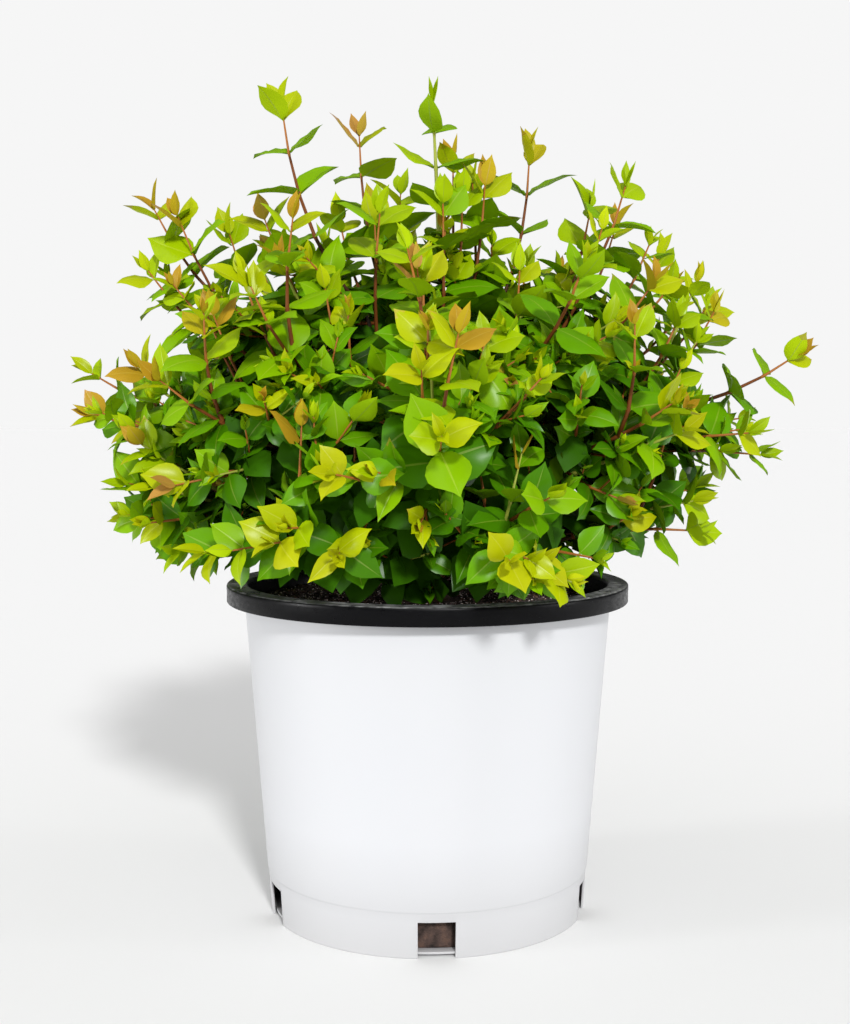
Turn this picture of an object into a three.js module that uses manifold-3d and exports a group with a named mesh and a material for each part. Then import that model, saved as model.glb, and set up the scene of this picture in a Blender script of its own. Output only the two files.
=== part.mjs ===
// A potted abelia: a young flowering shrub of many thin arching stems in a nursery pot.
// Millimetres, +Z up. The origin is the centre of the pot's underside, and -Y is the front.
import * as THREE from 'three';
import { mergeVertices } from 'three/addons/utils/BufferGeometryUtils.js';
import Module from 'manifold-3d';

const wasm = await Module();
wasm.setup();

// Pot and rim
const POT_HEIGHT = 230;
const RIM_RADIUS = 140;
const RIM_HEIGHT = 12.5;
const RIM_FLANGE = 2;
const RIM_SKIRT = 2;
const RIM_BEVEL = 1.2;
const LINER_DEPTH = 27;
const LINER_WALL = 1.2;
const FOOT_RADIUS = 110.5;
const LIP_RADIUS = 128.3;
const POT_WALL = 1.6;
const FLOOR_DISC_RADIUS = 88;
const FLOOR_RAISE = 2;
const BAND_HEIGHT = 30;
const BAND_STEP = 0.5;
const POT_SEGMENTS = 40;
const SEAT_GAP = 0.3;

// Drain notches round the foot
const NOTCH_COUNT = 5;
const NOTCH_WIDTH = 24;
const NOTCH_HEIGHT = 24;
const NOTCH_DEPTH = 5;
const NOTCH_AZIMUTH = 3;

// Soil and the short woody base that the stems grow from
const SOIL_TOP = 215;
const SOIL_CLEARANCE = 0.4;
const BASE_HEIGHT = 36;
const BASE_RADIUS = 13;
const FLARE_RADIUS = 20;
const FLARE_HEIGHT = 7;
const BASE_SEGMENTS = 12;

// Main stems: where the leaves at each tip end, as azimuth from the front in degrees towards +X,
// distance from the pot's axis and height above the ground.
const MAIN_STEMS = [
  { name: 'top_centre', azimuth: 90, reach: 3, height: 573 },
  { name: 'top_left', azimuth: -68, reach: 105, height: 560 },
  { name: 'top_right', azimuth: 120, reach: 85, height: 545 },
  { name: 'top_back', azimuth: -145, reach: 88, height: 563 },
  { name: 'upper_left', azimuth: -90, reach: 193, height: 497 },
  { name: 'upper_right', azimuth: 86, reach: 138, height: 513 },
  { name: 'upper_front_left', azimuth: -38, reach: 177, height: 432 },
  { name: 'upper_front', azimuth: 0, reach: 185, height: 406 },
  { name: 'upper_front_right', azimuth: 37, reach: 163, height: 451 },
  { name: 'upper_back_right', azimuth: 112, reach: 214, height: 437 },
  { name: 'upper_back', azimuth: 163, reach: 178, height: 455 },
  { name: 'upper_back_left', azimuth: -138, reach: 190, height: 450 },
  { name: 'middle_right', azimuth: 80, reach: 256, height: 391 },
  { name: 'middle_left', azimuth: -92, reach: 243, height: 380 },
  { name: 'middle_front_left', azimuth: -53, reach: 212, height: 373 },
  { name: 'middle_front', azimuth: 2, reach: 222, height: 338 },
  { name: 'middle_front_right', azimuth: 50, reach: 205, height: 360 },
  { name: 'middle_back_right', azimuth: 138, reach: 236, height: 352 },
  { name: 'middle_back', azimuth: -160, reach: 238, height: 350 },
  { name: 'lower_left', azimuth: -84, reach: 219, height: 277 },
  { name: 'lower_front_left', azimuth: -30, reach: 194, height: 270 },
  { name: 'lower_front_right', azimuth: 18, reach: 198, height: 262 },
  { name: 'lower_right', azimuth: 68, reach: 200, height: 270 },
  { name: 'lower_back_right', azimuth: 120, reach: 207, height: 277 },
  { name: 'lower_back', azimuth: 171, reach: 205, height: 272 },
  { name: 'lower_back_left', azimuth: -132, reach: 208, height: 275 },
];

// How a main stem leaves the base: low stems start low and flat, and tall ones high and steep.
const LOW_START = 222;
const HIGH_START = 246;
const LOW_INSET = 9;
const HIGH_INSET = 6;
const LOW_RISE = 30;
const HIGH_RISE = 84;
const HEIGHT_SPAN = [250, 573];
const INSET_OF_REACH = 0.125;
const BEND_SHARE = 0.5;
const BOUGH_RADIUS = 2.5;
const TIP_RADIUS = 1.1;
const BOUGH_SIDES = 5;
const BOUGH_STEPS = 3;

// Each mass of leaves keeps to the space nearer to its own centre than to any other mass's centre,
// and reaches no further from the crown's centre than its main stem does.
const CROWN_CENTRE = new THREE.Vector3(0, 0, 330);
const SPACE_SHARE = 0.64;
const SPACE_GAP = 0.2;
const LIMB_GAP = 0.35;
const ENTRY_MARGIN = 6;
const ENTRY_STEP = 0.02;
const EARLIEST_ENTRY = 0.3;
const REACH_MARGIN = 6;
const LOWEST_LEAF = 219;
const RIM_LAP = 4;

// Twigs
const SEED = 41;
const SEED_STEP = 97;
const GOLDEN_ANGLE = THREE.MathUtils.degToRad(137.5);
const TWIG_SIDES = 3;
const LEADER_STEPS = 3;
const STEM_END = 0.93;
const SIDE_TWIGS = 4;
const FIRST_TWIG = 0.05;
const LAST_TWIG = 0.8;
const WIDE_ANGLE = 62;
const NARROW_ANGLE = 40;
const TWIG_LENGTH = 88;
const TWIG_SHORTENING = 0.35;
const TWIG_VARIETY = [0.85, 1.15];
const TWIG_RADIUS = 0.85;
const TWIG_LIFT = 0.3;
const TWIG_ATTEMPTS = 7;
const RETRY_LENGTH = 0.88;
const ROOT_OFFSET = 0.3;

// Leaves, in opposite pairs that turn a quarter from node to node
const LEAF_LENGTH = 54;
const LEAF_WIDTH_SHARE = 0.68;
const LEAF_THICKNESS_SHARE = 0.035;
const LEAF_WIDEST = 0.42;
const LEAF_SPREAD = THREE.MathUtils.degToRad(58);
const LEAF_UPTURN = 0.7;
const LEAF_SHORTENING = 0.25;
const LEAF_VARIETY = [0.9, 1.1];
const TIP_LEAF_LENGTH = 38;
const TIP_LEAF_SPREAD = THREE.MathUtils.degToRad(24);
const LEAF_SIZES = [1, 0.8, 0.64];
const LEADER_LEAVES = { nodes: 4, from: 0.04, to: 0.9, tip: 0.91 };
const TWIG_LEAVES = { nodes: 2, from: 0.3, to: 0.95, tip: 0.89 };

// What a leaf may add to its mass: more faces mean that it cuts through another twig.
const MOST_ADDED = 22;
const CLEAN_SIZE = 0.02;
const SAME_CORNER = 0.001;

const UP = new THREE.Vector3(0, 0, 1);

const MATERIALS = {
  pot: new THREE.MeshStandardMaterial({ color: 0xe9eaec, roughness: 0.45, metalness: 0 }),
  rim: new THREE.MeshStandardMaterial({ color: 0x1b1b1e, roughness: 0.5, metalness: 0 }),
  soil: new THREE.MeshStandardMaterial({ color: 0x2b1a14, roughness: 0.95, metalness: 0 }),
  bark: new THREE.MeshStandardMaterial({ color: 0x6b3a28, roughness: 0.7, metalness: 0 }),
  leaves: new THREE.MeshStandardMaterial({ color: 0x5a9c14, roughness: 0.4, metalness: 0 }),
};

// Numbers from 0 to 1 that are the same at every run.
function seededRandom(seed) {
  let state = seed;
  return () => {
    state = (state * 48271) % 2147483647;
    return state / 2147483647;
  };
}

// A closed three.js geometry as a solid that can be joined and cut.
function solidFrom(geometry) {
  const bare = geometry.index ? geometry.toNonIndexed() : geometry.clone();
  bare.deleteAttribute('normal');
  bare.deleteAttribute('uv');
  const merged = mergeVertices(bare, 1e-4);
  return new wasm.Manifold(
    new wasm.Mesh({
      numProp: 3,
      vertProperties: merged.attributes.position.array,
      triVerts: new Uint32Array(merged.index.array),
    }),
  );
}

function geometryFrom(solid) {
  const mesh = solid.getMesh();
  return new THREE.BufferGeometry()
    .setAttribute('position', new THREE.BufferAttribute(mesh.vertProperties, 3))
    .setIndex(new THREE.BufferAttribute(mesh.triVerts, 1));
}

// The largest body of a solid, without the scraps and sealed hollows that joining leaves.
function largestBody(solid) {
  return solid
    .decompose()
    .reduce((largest, body) => (body.volume() > largest.volume() ? body : largest));
}

// True where each edge is still shared by just two faces once close corners are one.
function joinsCleanly(solid) {
  const corners = mergeVertices(geometryFrom(solid), SAME_CORNER).index.array;
  const edges = new Set();
  for (let face = 0; face < corners.length; face += 3) {
    for (let i = 0; i < 3; i += 1) {
      const edge = `${corners[face + i]} ${corners[face + ((i + 1) % 3)]}`;
      if (edges.has(edge)) return false;
      edges.add(edge);
    }
  }
  return true;
}

function named(name, geometry, material) {
  const mesh = new THREE.Mesh(geometry, material);
  mesh.name = name;
  return mesh;
}

// A profile of [radius, height] pairs turned round the pot's axis.
function turned(profile, segments) {
  const points = profile.map(([radius, height]) => new THREE.Vector2(radius, height));
  return new THREE.LatheGeometry(points, segments).rotateX(Math.PI / 2);
}

// Azimuth 0 points to the front, and 90 degrees points to +X.
function heading(azimuth) {
  const angle = THREE.MathUtils.degToRad(azimuth);
  return new THREE.Vector3(Math.sin(angle), -Math.cos(angle), 0);
}

function wallRadius(height) {
  const share = height / (POT_HEIGHT - RIM_FLANGE);
  return THREE.MathUtils.lerp(FOOT_RADIUS, LIP_RADIUS, share);
}

function buildPot() {
  const lip = POT_HEIGHT - RIM_FLANGE - SEAT_GAP;
  const innerFoot = wallRadius(FLOOR_RAISE) - POT_WALL;
  const profile = [
    [0, 0],
    [FLOOR_DISC_RADIUS, 0],
    [FLOOR_DISC_RADIUS + FLOOR_RAISE, FLOOR_RAISE],
    [innerFoot, FLOOR_RAISE],
    [innerFoot, 0],
    [FOOT_RADIUS, 0],
    [wallRadius(BAND_HEIGHT) - BAND_STEP, BAND_HEIGHT],
    [wallRadius(BAND_HEIGHT), BAND_HEIGHT + BAND_STEP],
    [wallRadius(lip), lip],
    [wallRadius(lip) - POT_WALL, lip],
    [innerFoot, FLOOR_RAISE + POT_WALL],
    [FLOOR_DISC_RADIUS + FLOOR_RAISE, FLOOR_RAISE + POT_WALL],
    [FLOOR_DISC_RADIUS, POT_WALL],
    [0, POT_WALL],
  ];
  const wall = solidFrom(turned(profile, POT_SEGMENTS));
  const notch = new THREE.BoxGeometry(NOTCH_WIDTH, 2 * NOTCH_DEPTH, 2 * NOTCH_HEIGHT);
  notch.translate(0, -FOOT_RADIUS, 0);
  const cuts = [];
  for (let i = 0; i < NOTCH_COUNT; i += 1) {
    const azimuth = NOTCH_AZIMUTH + (i * 360) / NOTCH_COUNT;
    cuts.push(solidFrom(notch.clone().rotateZ(THREE.MathUtils.degToRad(azimuth))));
  }
  const cut = wall.subtract(wasm.Manifold.union(cuts));
  return named('pot', geometryFrom(cut), MATERIALS.pot);
}

// The black rim: a flat flange with an outer skirt, and a liner that goes down inside the wall.
function buildRim() {
  const linerFoot = POT_HEIGHT - LINER_DEPTH;
  const under = POT_HEIGHT - RIM_FLANGE;
  const linerRadius = (height) => wallRadius(height) - POT_WALL - SEAT_GAP;
  const profile = [
    [linerRadius(linerFoot) - LINER_WALL, linerFoot],
    [linerRadius(linerFoot), linerFoot],
    [linerRadius(under), under],
    [RIM_RADIUS - RIM_SKIRT, under],
    [RIM_RADIUS - RIM_SKIRT, POT_HEIGHT - RIM_HEIGHT],
    [RIM_RADIUS, POT_HEIGHT - RIM_HEIGHT],
    [RIM_RADIUS, POT_HEIGHT - RIM_BEVEL],
    [RIM_RADIUS - RIM_BEVEL, POT_HEIGHT],
    [linerRadius(under), POT_HEIGHT],
    [linerRadius(under) - LINER_WALL, POT_HEIGHT - RIM_BEVEL],
    [linerRadius(linerFoot) - LINER_WALL, linerFoot],
  ];
  return named('rim', turned(profile, POT_SEGMENTS), MATERIALS.rim);
}

function buildSoil() {
  const inset = POT_WALL + SEAT_GAP + LINER_WALL + SOIL_CLEARANCE;
  const bottom = FLOOR_RAISE + POT_WALL + SEAT_GAP;
  const profile = [
    [0, bottom],
    [wallRadius(bottom) - inset, bottom],
    [wallRadius(SOIL_TOP) - inset, SOIL_TOP],
    [0, SOIL_TOP],
  ];
  return named('soil', turned(profile, POT_SEGMENTS), MATERIALS.soil);
}

// The woody base with its root flare, from a flat cut on the soil to a domed top.
function basePart(growth) {
  const foot = SOIL_TOP + SEAT_GAP;
  const shoulder = foot + BASE_HEIGHT * 0.8;
  const profile = [
    [0, foot - growth],
    [FLARE_RADIUS + growth, foot - growth],
    [FLARE_RADIUS * 0.82 + growth, foot + FLARE_HEIGHT * 0.35],
    [BASE_RADIUS + growth, foot + FLARE_HEIGHT],
    [BASE_RADIUS * 0.95 + growth, shoulder],
    [BASE_RADIUS * 0.6 + growth, foot + BASE_HEIGHT * 0.95 + growth],
    [0, foot + BASE_HEIGHT + growth],
  ];
  return turned(profile, BASE_SEGMENTS);
}

// A tapering closed tube: a cylinder whose rings are carried onto a stretch of a curve.
function taperedTube(curve, from, to, startRadius, endRadius, sides, steps) {
  const tube = new THREE.CylinderGeometry(endRadius, startRadius, 1, sides, steps);
  const place = tube.attributes.position;
  const across = new THREE.Vector3();
  const over = new THREE.Vector3();
  for (let i = 0; i < place.count; i += 1) {
    const t = THREE.MathUtils.lerp(from, to, place.getY(i) + 0.5);
    const centre = curve.getPoint(t);
    const along = curve.getTangent(t);
    frameAcross(along, across, over);
    centre.addScaledVector(across, place.getX(i)).addScaledVector(over, place.getZ(i));
    place.setXYZ(i, centre.x, centre.y, centre.z);
  }
  return tube;
}

// Two directions square to a shoot, chosen so that they don't spin from ring to ring.
function frameAcross(along, across, over) {
  const steady = new THREE.Vector3(0.31, 0.95, 0.05);
  across.crossVectors(steady, along).normalize();
  over.crossVectors(across, along);
}

// A leaf of six faces: a lozenge with a keel along its midrib, from its root to its tip.
function leafSolid(root, direction, facing, length) {
  const leaf = new THREE.SphereGeometry(1, 3, 2);
  const side = new THREE.Vector3().crossVectors(direction, facing).normalize();
  const normal = new THREE.Vector3().crossVectors(side, direction).normalize();
  const place = leaf.attributes.position;
  for (let i = 0; i < place.count; i += 1) {
    const pole = Math.abs(place.getY(i)) > 0.5;
    const along = pole ? (place.getY(i) + 1) / 2 : LEAF_WIDEST;
    const across = -Math.sign(Math.round(place.getZ(i))) * LEAF_WIDTH_SHARE * 0.5;
    const keel = !pole && place.getX(i) < -0.9 ? LEAF_THICKNESS_SHARE : 0;
    const point = root
      .clone()
      .addScaledVector(direction, along * length)
      .addScaledVector(side, across * length)
      .addScaledVector(normal, -keel * length);
    place.setXYZ(i, point.x, point.y, point.z);
  }
  return solidFrom(leaf);
}

// The line of a main stem, from inside the base to the tip of its last leaves.
function mainLine({ azimuth, reach, height }) {
  const tallness = THREE.MathUtils.inverseLerp(...HEIGHT_SPAN, height);
  const outward = heading(azimuth);
  const fullInset = THREE.MathUtils.lerp(LOW_INSET, HIGH_INSET, tallness);
  const inset = Math.min(fullInset, reach * INSET_OF_REACH);
  const start = outward.clone().multiplyScalar(inset);
  start.z = THREE.MathUtils.lerp(LOW_START, HIGH_START, tallness);
  const tip = outward.clone().multiplyScalar(reach).setZ(height);
  const rise = THREE.MathUtils.degToRad(THREE.MathUtils.lerp(LOW_RISE, HIGH_RISE, tallness));
  const bend = outward.clone().multiplyScalar(Math.cos(rise)).setZ(Math.sin(rise));
  bend.multiplyScalar(BEND_SHARE * start.distanceTo(tip)).add(start);
  return new THREE.QuadraticBezierCurve3(start, bend, tip);
}

// True where a point is nearer to its own mass's centre than to any other, by the gap.
function inOwnSpace(point, centres, index, margin) {
  const own = centres[index];
  return centres.every((other, i) => {
    if (i === index) return true;
    const apart = own.distanceTo(other);
    const lead = point.distanceToSquared(other) - point.distanceToSquared(own);
    return lead / (2 * apart) > margin;
  });
}

// The share of a main line from which it stays in its mass's own space.
function entryShare(line, centres, index) {
  let entry = STEM_END;
  while (entry > 0 && inOwnSpace(line.getPoint(entry), centres, index, ENTRY_MARGIN)) {
    entry -= ENTRY_STEP;
  }
  return Math.max(entry + ENTRY_STEP, EARLIEST_ENTRY);
}

function limbRadius(share) {
  return THREE.MathUtils.lerp(BOUGH_RADIUS, TIP_RADIUS, share);
}

function boughTube(line, entry, growth) {
  return taperedTube(
    line,
    0,
    entry,
    limbRadius(0) + growth,
    limbRadius(entry) + growth,
    BOUGH_SIDES,
    BOUGH_STEPS,
  );
}

// The line of a side twig, which leaves its parent at an angle and leans up towards the light.
function twigLine(parent, share, roll, angle, length) {
  const along = parent.getTangent(share);
  const across = new THREE.Vector3();
  const over = new THREE.Vector3();
  frameAcross(along, across, over);
  const aside = across.multiplyScalar(Math.cos(roll)).addScaledVector(over, Math.sin(roll));
  const root = parent.getPoint(share).addScaledVector(aside, ROOT_OFFSET);
  const direction = along.clone().multiplyScalar(Math.cos(angle));
  direction.addScaledVector(aside, Math.sin(angle)).addScaledVector(UP, TWIG_LIFT);
  return new THREE.LineCurve3(root, root.clone().addScaledVector(direction, length));
}

// The places of the leaves on a twig: its pairs from node to node, and an upright pair at its tip.
function leafPlaces(line, { nodes, from, to, tip }, random) {
  const places = [];
  const addPair = (share, turn, spread, size) => {
    const along = line.getTangent(share);
    const across = new THREE.Vector3();
    const over = new THREE.Vector3();
    frameAcross(along, across, over);
    for (const side of [-1, 1]) {
      const aside = across.clone().multiplyScalar(side * Math.cos(turn));
      aside.addScaledVector(over, side * Math.sin(turn));
      const direction = along.clone().multiplyScalar(Math.cos(spread));
      direction.addScaledVector(aside, Math.sin(spread));
      const root = line.getPoint(share).addScaledVector(aside, ROOT_OFFSET);
      const facing = root.clone().sub(CROWN_CENTRE).normalize().addScaledVector(UP, LEAF_UPTURN);
      places.push({ root, direction, facing, size });
    }
  };
  for (let node = 0; node < nodes; node += 1) {
    const share = THREE.MathUtils.lerp(from, to, (node + 0.5) / nodes);
    const variety = THREE.MathUtils.lerp(...LEAF_VARIETY, random());
    const size = LEAF_LENGTH * (1 - LEAF_SHORTENING * (node / nodes)) * variety;
    addPair(share, (node * Math.PI) / 2, LEAF_SPREAD, size);
  }
  addPair(tip, 0, TIP_LEAF_SPREAD, TIP_LEAF_LENGTH);
  return places;
}

// A solid with one more piece fused to it, or null where the joint has faulty edges.
function fusedWith(solid, piece) {
  const grown = largestBody(solid.add(piece).simplify(CLEAN_SIZE));
  return joinsCleanly(grown) ? grown : null;
}

// A mass's stem with its side twigs, and the twigs' lines. A twig that doesn't fit is turned and
// shortened a few times, then skipped.
function growTwigs(leader, line, entry, random, fits) {
  const shoots = [];
  let fused = leader;
  for (let i = 0; i < SIDE_TWIGS; i += 1) {
    const age = i / SIDE_TWIGS;
    const share = THREE.MathUtils.lerp(entry + FIRST_TWIG, LAST_TWIG, age);
    const angle = THREE.MathUtils.degToRad(THREE.MathUtils.lerp(WIDE_ANGLE, NARROW_ANGLE, age));
    let roll = i * GOLDEN_ANGLE + random();
    const variety = THREE.MathUtils.lerp(...TWIG_VARIETY, random());
    let length = TWIG_LENGTH * (1 - TWIG_SHORTENING * age) * variety;
    for (let attempt = 0; attempt < TWIG_ATTEMPTS; attempt += 1) {
      const shoot = twigLine(line, share, roll, angle, length);
      const twig = taperedTube(shoot, 0, STEM_END, TWIG_RADIUS, TWIG_RADIUS, TWIG_SIDES, 1);
      const solid = solidFrom(twig);
      const grown = fits(solid) ? fusedWith(fused, solid) : null;
      if (grown) {
        shoots.push(shoot);
        fused = grown;
        break;
      }
      roll += GOLDEN_ANGLE;
      length *= RETRY_LENGTH;
    }
  }
  return { shoots, fused };
}

// Leaves fused to their twigs. One that touches another leaf or twig is made smaller, or skipped.
function fuseLeaves(twigs, places, fits) {
  const kept = [];
  let fused = twigs;
  for (const { root, direction, facing, size } of places) {
    for (const share of LEAF_SIZES) {
      const leaf = leafSolid(root, direction, facing, size * share);
      if (kept.some((other) => !leaf.intersect(other).isEmpty()) || !fits(leaf)) continue;
      const grown = fusedWith(fused, leaf);
      if (!grown || grown.numTri() - fused.numTri() > MOST_ADDED) continue;
      kept.push(leaf);
      fused = grown;
      break;
    }
  }
  return fused;
}

// One mass: the stem that carries on from its bough, side twigs and leaves, fused into one solid.
function buildMass(stem, index, centres, line, entry, keepOut) {
  const random = seededRandom(SEED + SEED_STEP * index);
  const reach = line.getPoint(1).distanceTo(CROWN_CENTRE) + REACH_MARGIN;
  const fits = (solid) => {
    const place = solid.getMesh().vertProperties;
    for (let i = 0; i < place.length; i += 3) {
      const point = new THREE.Vector3(place[i], place[i + 1], place[i + 2]);
      if (point.z < LOWEST_LEAF || point.distanceTo(CROWN_CENTRE) > reach) return false;
      if (!inOwnSpace(point, centres, index, SPACE_GAP)) return false;
    }
    return solid.intersect(keepOut).isEmpty();
  };

  const start = entry + SEAT_GAP / line.getLength();
  const leader = taperedTube(
    line,
    start,
    STEM_END,
    limbRadius(entry),
    TIP_RADIUS,
    TWIG_SIDES,
    LEADER_STEPS,
  );
  const twigs = growTwigs(solidFrom(leader).simplify(CLEAN_SIZE), line, entry, random, fits);
  const leaderLeaves = { ...LEADER_LEAVES, from: entry + LEADER_LEAVES.from };
  const places = leafPlaces(line, leaderLeaves, random);
  for (const shoot of twigs.shoots) places.push(...leafPlaces(shoot, TWIG_LEAVES, random));
  const fused = fuseLeaves(twigs.fused, places, fits);
  return named(`foliage_${stem.name}`, geometryFrom(fused), MATERIALS.leaves);
}

// The space that leaves and twigs keep out of: the soil, the rim, the base and every bough.
function takenSpace(base, lines, entries) {
  const underRim = POT_HEIGHT - RIM_HEIGHT - LIMB_GAP;
  const potTop = [
    [0, SOIL_TOP - RIM_LAP],
    [LIP_RADIUS, SOIL_TOP - RIM_LAP],
    [LIP_RADIUS, underRim],
    [RIM_RADIUS + LIMB_GAP, underRim],
    [RIM_RADIUS + LIMB_GAP, POT_HEIGHT + LIMB_GAP],
    [LIP_RADIUS - RIM_LAP, POT_HEIGHT + LIMB_GAP],
    [LIP_RADIUS - RIM_LAP, SOIL_TOP + LIMB_GAP],
    [0, SOIL_TOP + LIMB_GAP],
  ];
  const boughs = lines.map((line, i) => solidFrom(boughTube(line, entries[i], LIMB_GAP)));
  return wasm.Manifold.union([base, solidFrom(turned(potTop, POT_SEGMENTS)), ...boughs]);
}

function buildPlant() {
  const plant = new THREE.Group();
  plant.add(named('trunk', basePart(0), MATERIALS.bark));
  const grownBase = solidFrom(basePart(SEAT_GAP));
  const lines = MAIN_STEMS.map(mainLine);
  const centres = lines.map((line) => CROWN_CENTRE.clone().lerp(line.getPoint(1), SPACE_SHARE));
  const entries = lines.map((line, i) => entryShare(line, centres, i));
  const keepOut = takenSpace(grownBase, lines, entries);
  MAIN_STEMS.forEach((stem, i) => {
    const bough = solidFrom(boughTube(lines[i], entries[i], 0)).subtract(grownBase);
    plant.add(named(`bough_${stem.name}`, geometryFrom(largestBody(bough)), MATERIALS.bark));
    plant.add(buildMass(stem, i, centres, lines[i], entries[i], keepOut));
  });
  return plant;
}

const pottedShrub = new THREE.Group();
pottedShrub.add(buildPot(), buildRim(), buildSoil(), buildPlant());

export default pottedShrub;
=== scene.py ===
"""A young potted abelia: a flowering shrub of many thin leafy shoots in a white nursery pot.

The shrub grows here by the rule of the part's source: main stems rise from a short woody base,
side shoots leave them by a seeded rule, and each carries opposite pairs of leaves.
Sizes in settings and materials are metres, and shapes are worked out in millimetres."""

import math

import bmesh
import bpy
import numpy as np
from bpy.props import FloatProperty, FloatVectorProperty, IntProperty, PointerProperty
from mathutils import Matrix, Vector, noise


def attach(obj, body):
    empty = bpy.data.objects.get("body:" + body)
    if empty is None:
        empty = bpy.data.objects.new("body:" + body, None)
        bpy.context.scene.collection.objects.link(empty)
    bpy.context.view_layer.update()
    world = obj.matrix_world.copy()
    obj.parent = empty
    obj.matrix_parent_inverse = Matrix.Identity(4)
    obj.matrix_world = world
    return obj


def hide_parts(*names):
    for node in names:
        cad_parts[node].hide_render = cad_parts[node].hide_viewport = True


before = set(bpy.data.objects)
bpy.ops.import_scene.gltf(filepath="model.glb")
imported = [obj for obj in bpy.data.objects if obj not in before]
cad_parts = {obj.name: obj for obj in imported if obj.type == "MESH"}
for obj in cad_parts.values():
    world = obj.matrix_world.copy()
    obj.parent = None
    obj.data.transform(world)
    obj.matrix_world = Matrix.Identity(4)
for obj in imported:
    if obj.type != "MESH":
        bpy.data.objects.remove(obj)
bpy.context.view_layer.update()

bl_info = {
    "name": "Potted abelia",
    "version": (1, 0, 0),
    "blender": (4, 5, 0),
    "location": "View3D > Sidebar > Potted abelia",
    "description": "Builds a young abelia in its nursery pot on a pale studio floor",
    "category": "Add Mesh",
}

MM = 0.001
BODY = "root"
UP = np.array((0.0, 0.0, 1.0))
GOLDEN_ANGLE = math.radians(137.5)

# The main stems of the source: azimuth from the front in degrees towards +X, distance of the tip
# from the pot's axis, and its height above the ground, in millimetres.
MAIN_STEMS = {
    "top_centre": (90, 3, 573),
    "top_left": (-68, 105, 560),
    "top_right": (120, 85, 545),
    "top_back": (-145, 88, 563),
    "upper_left": (-90, 193, 497),
    "upper_right": (86, 138, 513),
    "upper_front_left": (-38, 177, 432),
    "upper_front": (0, 185, 406),
    "upper_front_right": (37, 163, 451),
    "upper_back_right": (112, 214, 437),
    "upper_back": (163, 178, 455),
    "upper_back_left": (-138, 190, 450),
    "middle_right": (80, 256, 391),
    "middle_left": (-92, 243, 380),
    "middle_front_left": (-53, 212, 373),
    "middle_front": (2, 222, 338),
    "middle_front_right": (50, 205, 360),
    "middle_back_right": (138, 236, 352),
    "middle_back": (-160, 238, 350),
    "lower_left": (-84, 219, 277),
    "lower_front_left": (-30, 194, 270),
    "lower_front_right": (18, 198, 262),
    "lower_right": (68, 200, 270),
    "lower_back_right": (120, 207, 277),
    "lower_back": (171, 205, 272),
    "lower_back_left": (-132, 208, 275),
}
BOUGHS = [f"bough_{name}" for name in MAIN_STEMS]
MASSES = [f"foliage_{name}" for name in MAIN_STEMS]
TOP_STEM, LONE_STEM = 0, list(MAIN_STEMS).index("middle_right")

# Pot, soil and woody base, as in the source.
SEAT_GAP = 0.3
RIM_THICKNESS = 2.0
SOIL_TOP = 215.0
BASE_HEIGHT, BASE_RADIUS = 36.0, 13.0
FLARE_HEIGHT, FLARE_RADIUS = 7.0, 20.0

# The line of a main stem, from that of the lowest tip to that of the highest.
LOWEST_TIP, HIGHEST_TIP = 250.0, 573.0
LOW_START, HIGH_START = 222.0, 246.0
LOW_INSET, HIGH_INSET = 9.0, 6.0
LOW_RISE, HIGH_RISE = 30.0, 84.0
INSET_OF_REACH = 0.125
BEND_SHARE = 0.5
BOUGH_RADIUS, TIP_RADIUS = 2.5, 1.1

# The space of each mass, which starts where its main stem has left its neighbours.
CROWN_CENTRE = np.array((0.0, 0.0, 330.0))
SPACE_SHARE = 0.64
ENTRY_MARGIN, ENTRY_STEP = 6.0, 0.02
EARLIEST_ENTRY, STEM_END = 0.3, 0.93
REACH_MARGIN = 6.0

# How sharply the nearest stems set the crown's reach, and the share of it that is closely filled.
NEAREST_STEMS = 16
DENSEST, DENSE_LOSS = 1.0, 0.42

# How far out the soil and the rim reach, and the least height of a leaf over them and outside.
SOIL_REACH, RIM_REACH = 116.0, 143.0
OVER_SOIL, OVER_RIM, OUTSIDE = 218.0, 233.0, 219.0

# Side shoots by the source's rule: where they leave the leading shoot, at what angle, how long.
SEED, SEED_STEP = 41, 97
FIRST_TWIG, LAST_TWIG, LAST_LOW_TWIG, LAST_TALL_TWIG = 0.05, 0.66, 0.8, 0.6
LOW_MASS, TALL_MASS = 300.0, 490.0
LEFT_PART = 60.0
WIDE_ANGLE, NARROW_ANGLE = 62.0, 40.0
TWIG_LENGTH, TWIG_SHORTENING, TWIG_VARIETY = 88.0, 0.35, (0.85, 1.15)
TWIG_LIFT, LEFT_LIFT, RIGHT_LIFT = 0.3, -0.2, 0.1
TWIG_BEND, TWIG_CURL = 0.55, 0.16
TWIG_ATTEMPTS, RETRY_LENGTH = 7, 0.88
STEEP, STEEPER = math.radians(52), math.radians(66)

# Radius at the foot and vigour of each kind of shoot, and the length of bare line past its tip.
SIDE_SHOOT, FINER_TWIG, INNER_TWIG = (1.25, 0.96), (0.8, 0.86), (0.9, 0.95)
RISING_SHOOT_RADIUS, LONG_SHOOT_RADIUS, TWIG_TIP_RADIUS = 1.6, 1.9, 0.6
SIDE_END, LEADER_END = 4.0, 10.0

# How far a shoot turns up, which starts at one height of its tip and is full at the other.
UPTURN, UPTURN_HEIGHTS = 0.14, (290.0, 410.0)

# Spread of the first pair of leaves in degrees, and the distance over which the next ones open.
SLOW_OPENING, QUICK_OPENING, LAST_SPREAD = (12.0, 22.0), (20.0, 9.0), 64.0
LIGHT_WAY = np.array((0.15, -0.8, 0.5))
LEAF_GROWTH, LEAF_AGING = 15.0, 45.0

# Distances between the first pairs of leaves on the topmost shoot.
TOP_GAPS = (17.0, 21.0, 26.0, 30.0)

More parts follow.
